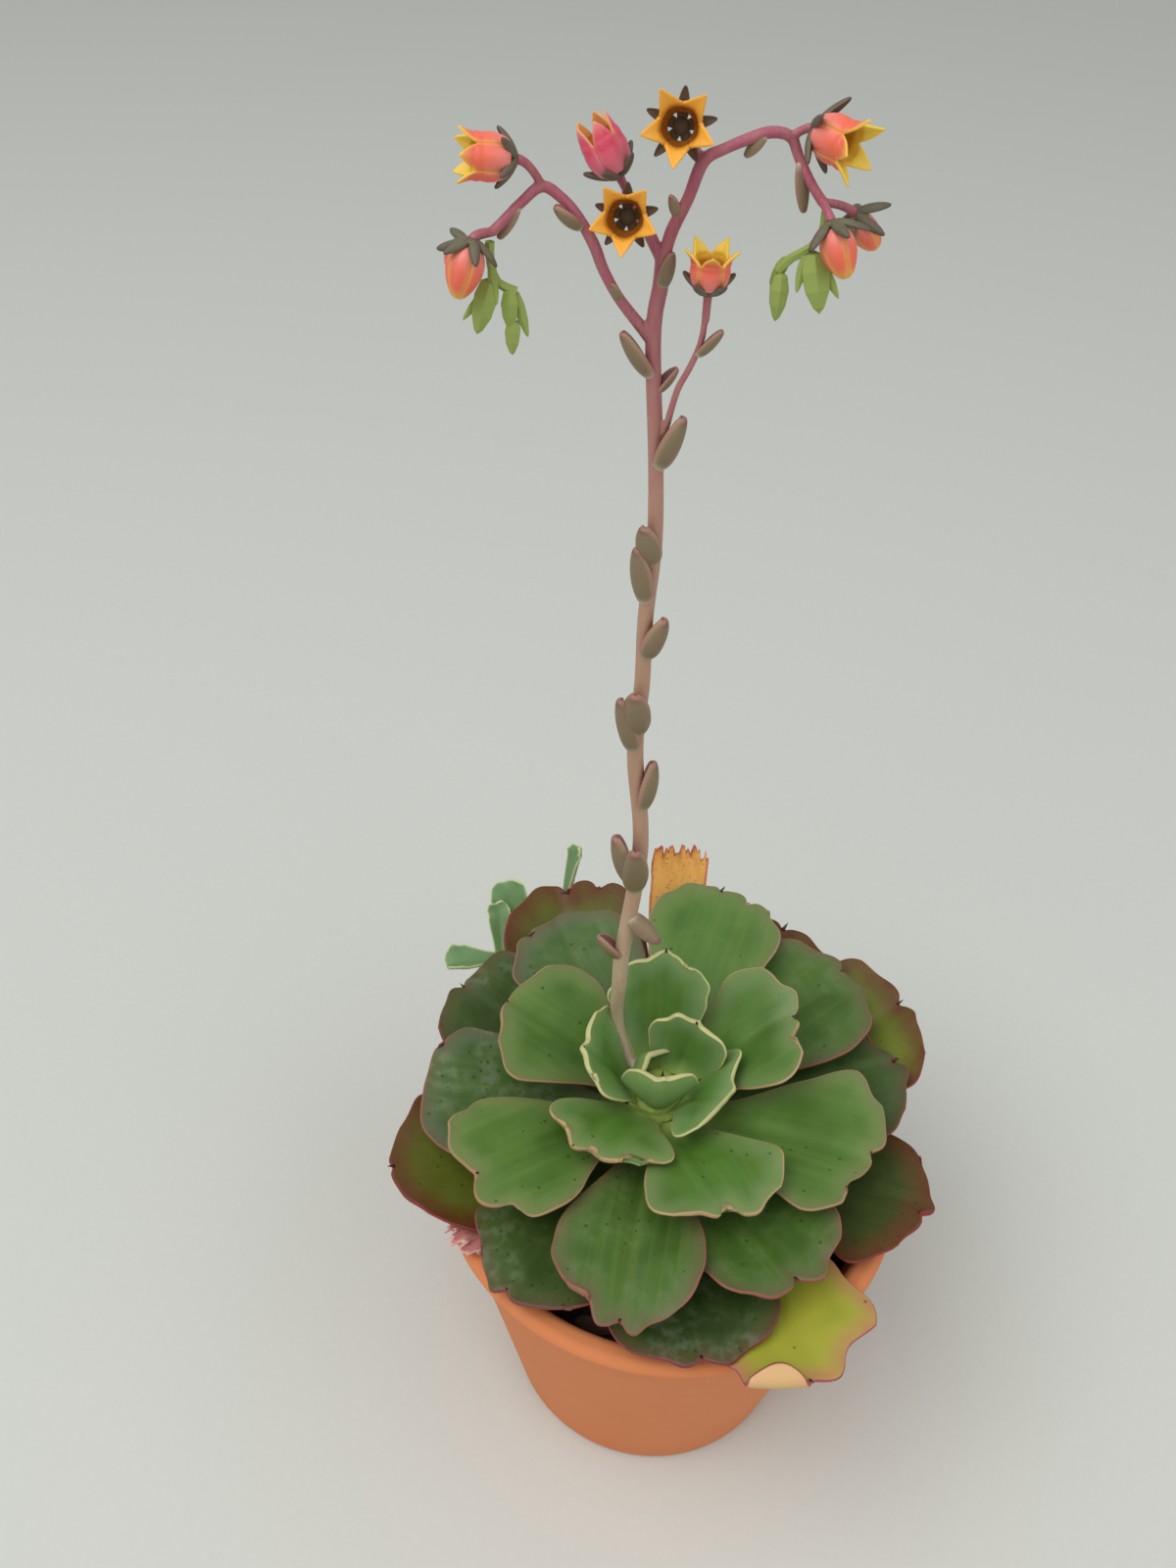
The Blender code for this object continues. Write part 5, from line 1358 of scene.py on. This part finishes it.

# The flowers: six open ones and four coloured buds, each five thick petals in a grey-green
# calyx of five pointed sepals. The petals are coral and waxy outside and yellow inside, and
# touch along their edges into a five-sided tube.
RECEPTACLE = 1.4
PETALS = 5
PETAL_THICKNESS = 0.65
PETAL_ROWS = 30
PETAL_COLUMNS = 15
SPLIT = 0.6
FLARE_START = 0.48
SEPAL_SIZE = (5.5, 2.2, 0.8)
SEPAL_LEAN = 66


def corolla_radius(bloom, share):
    """A corolla swells from its foot, narrows a little and opens to its mouth; a bud closes."""
    if not bloom.mouth:
        return bloom.radius * 1.83 * np.clip(share, 0.0, 1) ** 0.5 * np.clip(1 - share, 0, 1) ** 0.9
    body = bloom.radius * (0.6 + 0.4 * np.sin(math.pi * np.minimum(share, FLARE_START) / 0.7) ** 0.7)
    opening = np.clip((share - FLARE_START) / (1 - FLARE_START), 0, 1)
    return body + (bloom.mouth - body) * opening**1.7


def petal_mesh(bloom):
    """One petal, along +Z from the flower's foot and out towards +Y, as rows from foot to tip."""
    share, across = np.meshgrid(np.linspace(0.0, 1, PETAL_ROWS), finer_ends(PETAL_COLUMNS, 0.6) * 2 - 1, indexing="ij")
    half = math.pi / PETALS
    radius = corolla_radius(bloom, share)
    if bloom.mouth:
        free = np.clip((share - SPLIT) / (1 - SPLIT), 0, 1)
        neck = corolla_radius(bloom, np.array(SPLIT))
        fall = 0.12 * free**2 * (bloom.mouth - neck)
    else:
        free, neck, fall = np.zeros_like(share), 1.0, 0.0
    keel = 1 + 0.07 * (1 - np.abs(across)) - 0.05 * np.abs(across) ** 8
    tube_out = radius * keel * np.cos(across * half)
    tube_side = radius * keel * np.sin(across * half)
    free_side = neck * math.sin(half) * across * (1 - free**1.7)
    free_out = radius - neck * (1 - math.cos(half)) * np.abs(across) * (1 - free)
    mix = smooth_step(free * 6)
    out = tube_out * (1 - mix) + free_out * mix
    side = tube_side * (1 - mix) + free_side * mix
    top = np.stack([side, out, bloom.length * share - fall], -1)
    flat = np.stack([side, bloom.length * share], -1)
    thin = PETAL_THICKNESS * (1 - 0.4 * free) * (0.35 + 0.65 * np.minimum(1, radius / 0.8))
    return flesh_mesh("petal", top, flat, thin, edge_round=0.22)


def petal_skin(name, outside, foot, tip, inside, throat_shade):
    """Petal: thick and waxy with a soft shine, deepest at the keel and yellow within, with painted shade darkening the
    inside towards the foot of the tube.
    """
    material, tree = blank_material(name)
    spot = add(tree, "ShaderNodeTexCoord").outputs["Object"]
    margin = add(tree, "ShaderNodeAttribute", attribute_name="margin").outputs["Fac"]
    along = add(tree, "ShaderNodeAttribute", attribute_name="along").outputs["Fac"]
    under = add(tree, "ShaderNodeAttribute", attribute_name="under").outputs["Fac"]
    fine = add(tree, "ShaderNodeTexNoise", {"Vector": spot, "Scale": 1 / 0.0009, "Detail": 3.0})
    footed = add(tree, "ShaderNodeMapRange", {"Value": along, "From Min": 0.0, "From Max": 0.55}, interpolation_type="SMOOTHSTEP")
    body = add(tree, "ShaderNodeMix", {"Factor": footed, "A": colour(foot), "B": colour(outside)}, data_type="RGBA")
    tipped = add(tree, "ShaderNodeMapRange", {"Value": along, "From Min": 0.7, "From Max": 1.0, "To Max": 0.85}, interpolation_type="SMOOTHSTEP")
    body = add(tree, "ShaderNodeMix", {"Factor": tipped, "A": body, "B": colour(tip)}, data_type="RGBA")
    edge = add(tree, "ShaderNodeMapRange", {"Value": margin, "From Min": 0.45, "From Max": 0.1, "To Max": 0.45})
    body = add(tree, "ShaderNodeMix", {"Factor": edge, "A": body, "B": colour(tip)}, data_type="RGBA")
    # Painted shade: towards the foot the inside is mixed to the darker throat colour, which stands in for the shade
    # deep in the tube.
    deep = add(tree, "ShaderNodeMapRange", {"Value": along, "From Min": 0.35, "From Max": 0.75}, interpolation_type="SMOOTHSTEP")
    within = add(tree, "ShaderNodeMix", {"Factor": deep, "A": colour(throat_shade), "B": colour(inside)}, data_type="RGBA")
    body = add(tree, "ShaderNodeMix", {"Factor": under, "A": within, "B": body}, data_type="RGBA")
    mottled = add(tree, "ShaderNodeMapRange", {"Value": fine, "From Min": 0.35, "From Max": 0.7, "To Max": 0.18})
    body = add(tree, "ShaderNodeMix", {"Factor": mottled, "A": body, "B": colour(foot)}, data_type="RGBA")
    bump = add(tree, "ShaderNodeBump", {"Strength": 0.12, "Distance": 0.0002, "Height": fine})
    shader = add(
        tree,
        "ShaderNodeBsdfPrincipled",
        {
            "Base Color": body,
            "Roughness": 0.45,
            "Normal": bump,
            "Subsurface Weight": 0.2,
            "Subsurface Radius": (1.0, 0.4, 0.2),
            "Subsurface Scale": 0.001,
        },
    )
    add(tree, "ShaderNodeOutputMaterial", {"Surface": shader})
    return material


def sepal_skin():
    """Sepal: fleshy and matte, dark grey-olive with a purple cast."""
    material, tree = blank_material("sepal skin")
    spot = add(tree, "ShaderNodeTexCoord").outputs["Object"]
    along = add(tree, "ShaderNodeAttribute", attribute_name="along").outputs["Fac"]
    patchy = add(tree, "ShaderNodeTexNoise", {"Vector": spot, "Scale": 1 / 0.002, "Detail": 3.0})
    body = add(tree, "ShaderNodeMix", {"Factor": patchy, "A": colour("#6A7050"), "B": colour("#665048")}, data_type="RGBA")
    tip = add(tree, "ShaderNodeMapRange", {"Value": along, "From Min": 0.5, "From Max": 1.0, "To Max": 0.6})
    body = add(tree, "ShaderNodeMix", {"Factor": tip, "A": body, "B": colour("#553C40")}, data_type="RGBA")
    bump = add(tree, "ShaderNodeBump", {"Strength": 0.2, "Distance": 0.0002, "Height": patchy})
    shader = add(tree, "ShaderNodeBsdfPrincipled", {"Base Color": body, "Roughness": 0.55, "Normal": bump})
    add(tree, "ShaderNodeOutputMaterial", {"Surface": shader})
    return material


# The last colour of each skin is painted shade: a darker orange for the inside deep in the tube, where the throat lies
# in shade.
PETAL_SKINS = {
    "coral": petal_skin("petal skin, coral", "#EE6A4C", "#EE8A80", "#F2C04E", "#F0CE3E", "#D89A2A"),
    "magenta": petal_skin("petal skin, magenta", "#DC4A64", "#E88A9C", "#F0988A", "#F0B060", "#D88A5A"),
    "gold": petal_skin("petal skin, gold within", "#E97C4C", "#E88A80", "#F4C24A", "#F2AE2C", "#B87812"),
}
BLOOM_SKINS = {"pink": "magenta", "top": "gold", "middle": "gold"}
SEPAL_SKIN = sepal_skin()


def bloom_frame(bloom):
    """The foot of a bloom and its axis, with the two level directions across it."""
    heading = direction(bloom.azimuth, bloom.rise)
    side = Vector(compass(bloom.azimuth + 90))
    return Vector(bloom.foot), heading, side, heading.cross(side)


def around(bloom, first, count):
    """The directions out from a bloom's axis, evenly round it from a first angle in degrees."""
    _, _, side, up = bloom_frame(bloom)
    angles = [math.radians(bloom.turn + first + 360 / count * number) for number in range(count)]
    return [side * math.cos(angle) + up * math.sin(angle) for angle in angles]


def make_calyx(bloom):
    """A small round receptacle with five spreading sepals."""
    foot, heading, side, up = bloom_frame(bloom)
    bm = bmesh.new()
    bmesh.ops.create_uvsphere(bm, u_segments=24, v_segments=14, radius=1)
    for vertex in bm.verts:
        x, y, z = vertex.co
        wide = bloom.radius * 0.5 * (1 + 0.12 * z)
        vertex.co = (foot + heading * (z + 1) * RECEPTACLE / 2 + (side * x + up * y) * wide) * MM
    mesh = bpy.data.meshes.new("receptacle")
    bm.to_mesh(mesh)
    bm.free()
    mesh.shade_smooth()
    parts = [object_of(mesh, "receptacle", SEPAL_SKIN)]
    lean = math.radians(SEPAL_LEAN)
    length = bloom.sepal / SEPAL_SIZE[0]
    spots = []
    for out in around(bloom, 36, PETALS):
        way = heading * math.cos(lean) + out * math.sin(lean)
        spots.append((foot + heading * 0.45 + out * 0.3, way, heading, (1.0, 1.0, length)))
    parts.append(set_out("sepals", scale_mesh("sepal", SEPAL_SIZE, curl=0.9, cup=0.2), spots, SEPAL_SKIN))
    show(joined("bloom_calyx_" + bloom.name, parts), "calyx", "calyx_" + bloom.name)


def make_corolla(bloom):
    """Five petals about the flower's axis, or closed over each other in a bud."""
    foot, heading, _, _ = bloom_frame(bloom)
    start = foot + heading * (RECEPTACLE + GAP)
    spots = [(start, heading, out, (1, 1, 1)) for out in around(bloom, 0, PETALS)]
    skin = PETAL_SKINS[BLOOM_SKINS.get(bloom.name, "coral")]
    petals = set_out("bloom_petals_" + bloom.name, petal_mesh(bloom), spots, skin)
    slots = {"magenta": "petals_pink", "gold": "petals_gold"}
    show(petals, slots.get(BLOOM_SKINS.get(bloom.name), "petals_coral"), "corolla_" + bloom.name)


for bloom in BLOOMS:
    make_calyx(bloom)
    make_corolla(bloom)

# The studio: a plain pale floor, soft light from large panels, and the camera at the height
# and tilt from which such a pot is seen on a low table.
FLOOR_SIZE = 8.0
CAMERA_SPOT = (-25.8, -225.0, 421.7)
CAMERA_PITCH = 41.77
CAMERA_ROLL = 2.67
LENS = 33.75


def pale_floor():
    """Matte pale grey paper, lit evenly, with only a trace of tooth."""
    material, tree = blank_material("pale matte paper")
    spot = add(tree, "ShaderNodeTexCoord").outputs["Object"]
    tooth = add(tree, "ShaderNodeTexNoise", {"Vector": spot, "Scale": 1 / 0.002, "Detail": 2.0})
    tone = add(tree, "ShaderNodeMix", {"Factor": tooth, "A": colour("#CFD1CA"), "B": colour("#D4D6CF")}, data_type="RGBA")
    shader = add(tree, "ShaderNodeBsdfPrincipled", {"Base Color": tone, "Roughness": 0.9})
    add(tree, "ShaderNodeOutputMaterial", {"Surface": shader})
    return material


floor_mesh = bpy.data.meshes.new("floor")
half_floor = FLOOR_SIZE / 2
floor_mesh.from_pydata([(x * half_floor, y * half_floor, -0.0003) for x, y in ((-1, -1), (1, -1), (1, 1), (-1, 1))], [], [(0, 1, 2, 3)])
studio_floor = object_of(floor_mesh, "studio_floor", pale_floor())


def light_panel(name, place, aim, size, power):
    """A square area light at one point, facing another."""
    lamp = bpy.data.lights.new(name, "AREA")
    lamp.size = size
    lamp.energy = power
    panel = bpy.data.objects.new(name, lamp)
    panel.location = place
    panel.rotation_euler = (Vector(aim) - Vector(place)).to_track_quat("-Z", "Y").to_euler()
    bpy.context.scene.collection.objects.link(panel)


light_panel("key_panel", (-0.7, -0.5, 1.6), (0, 0, 0.12), 1.2, 16.0)
light_panel("fill_panel", (0.9, -0.6, 1.1), (0, 0, 0.12), 1.4, 5.0)

world = bpy.data.worlds.new("soft daylight")
world.use_nodes = True
sky = world.node_tree.nodes["Background"]
sky.inputs["Color"].default_value = colour("#EEF1F2")
sky.inputs["Strength"].default_value = 0.55
bpy.context.scene.world = world
bpy.context.scene.view_settings.view_transform = "Standard"

lens = bpy.data.cameras.new("camera")
lens.lens = LENS
lens.sensor_width = 36.0
lens.clip_start = 0.01
camera = bpy.data.objects.new("camera", lens)
camera.location = Vector(CAMERA_SPOT) * MM
tilt = Vector((1, 0, 0)), Vector((0, 0, 1))
camera.rotation_mode = "QUATERNION"
pitch_turn = Vector((0, math.cos(math.radians(CAMERA_PITCH)), -math.sin(math.radians(CAMERA_PITCH)))).to_track_quat("-Z", "Y")
camera.rotation_quaternion = pitch_turn @ Quaternion((0, 0, 1), math.radians(CAMERA_ROLL))
bpy.context.scene.collection.objects.link(camera)
bpy.context.scene.camera = camera
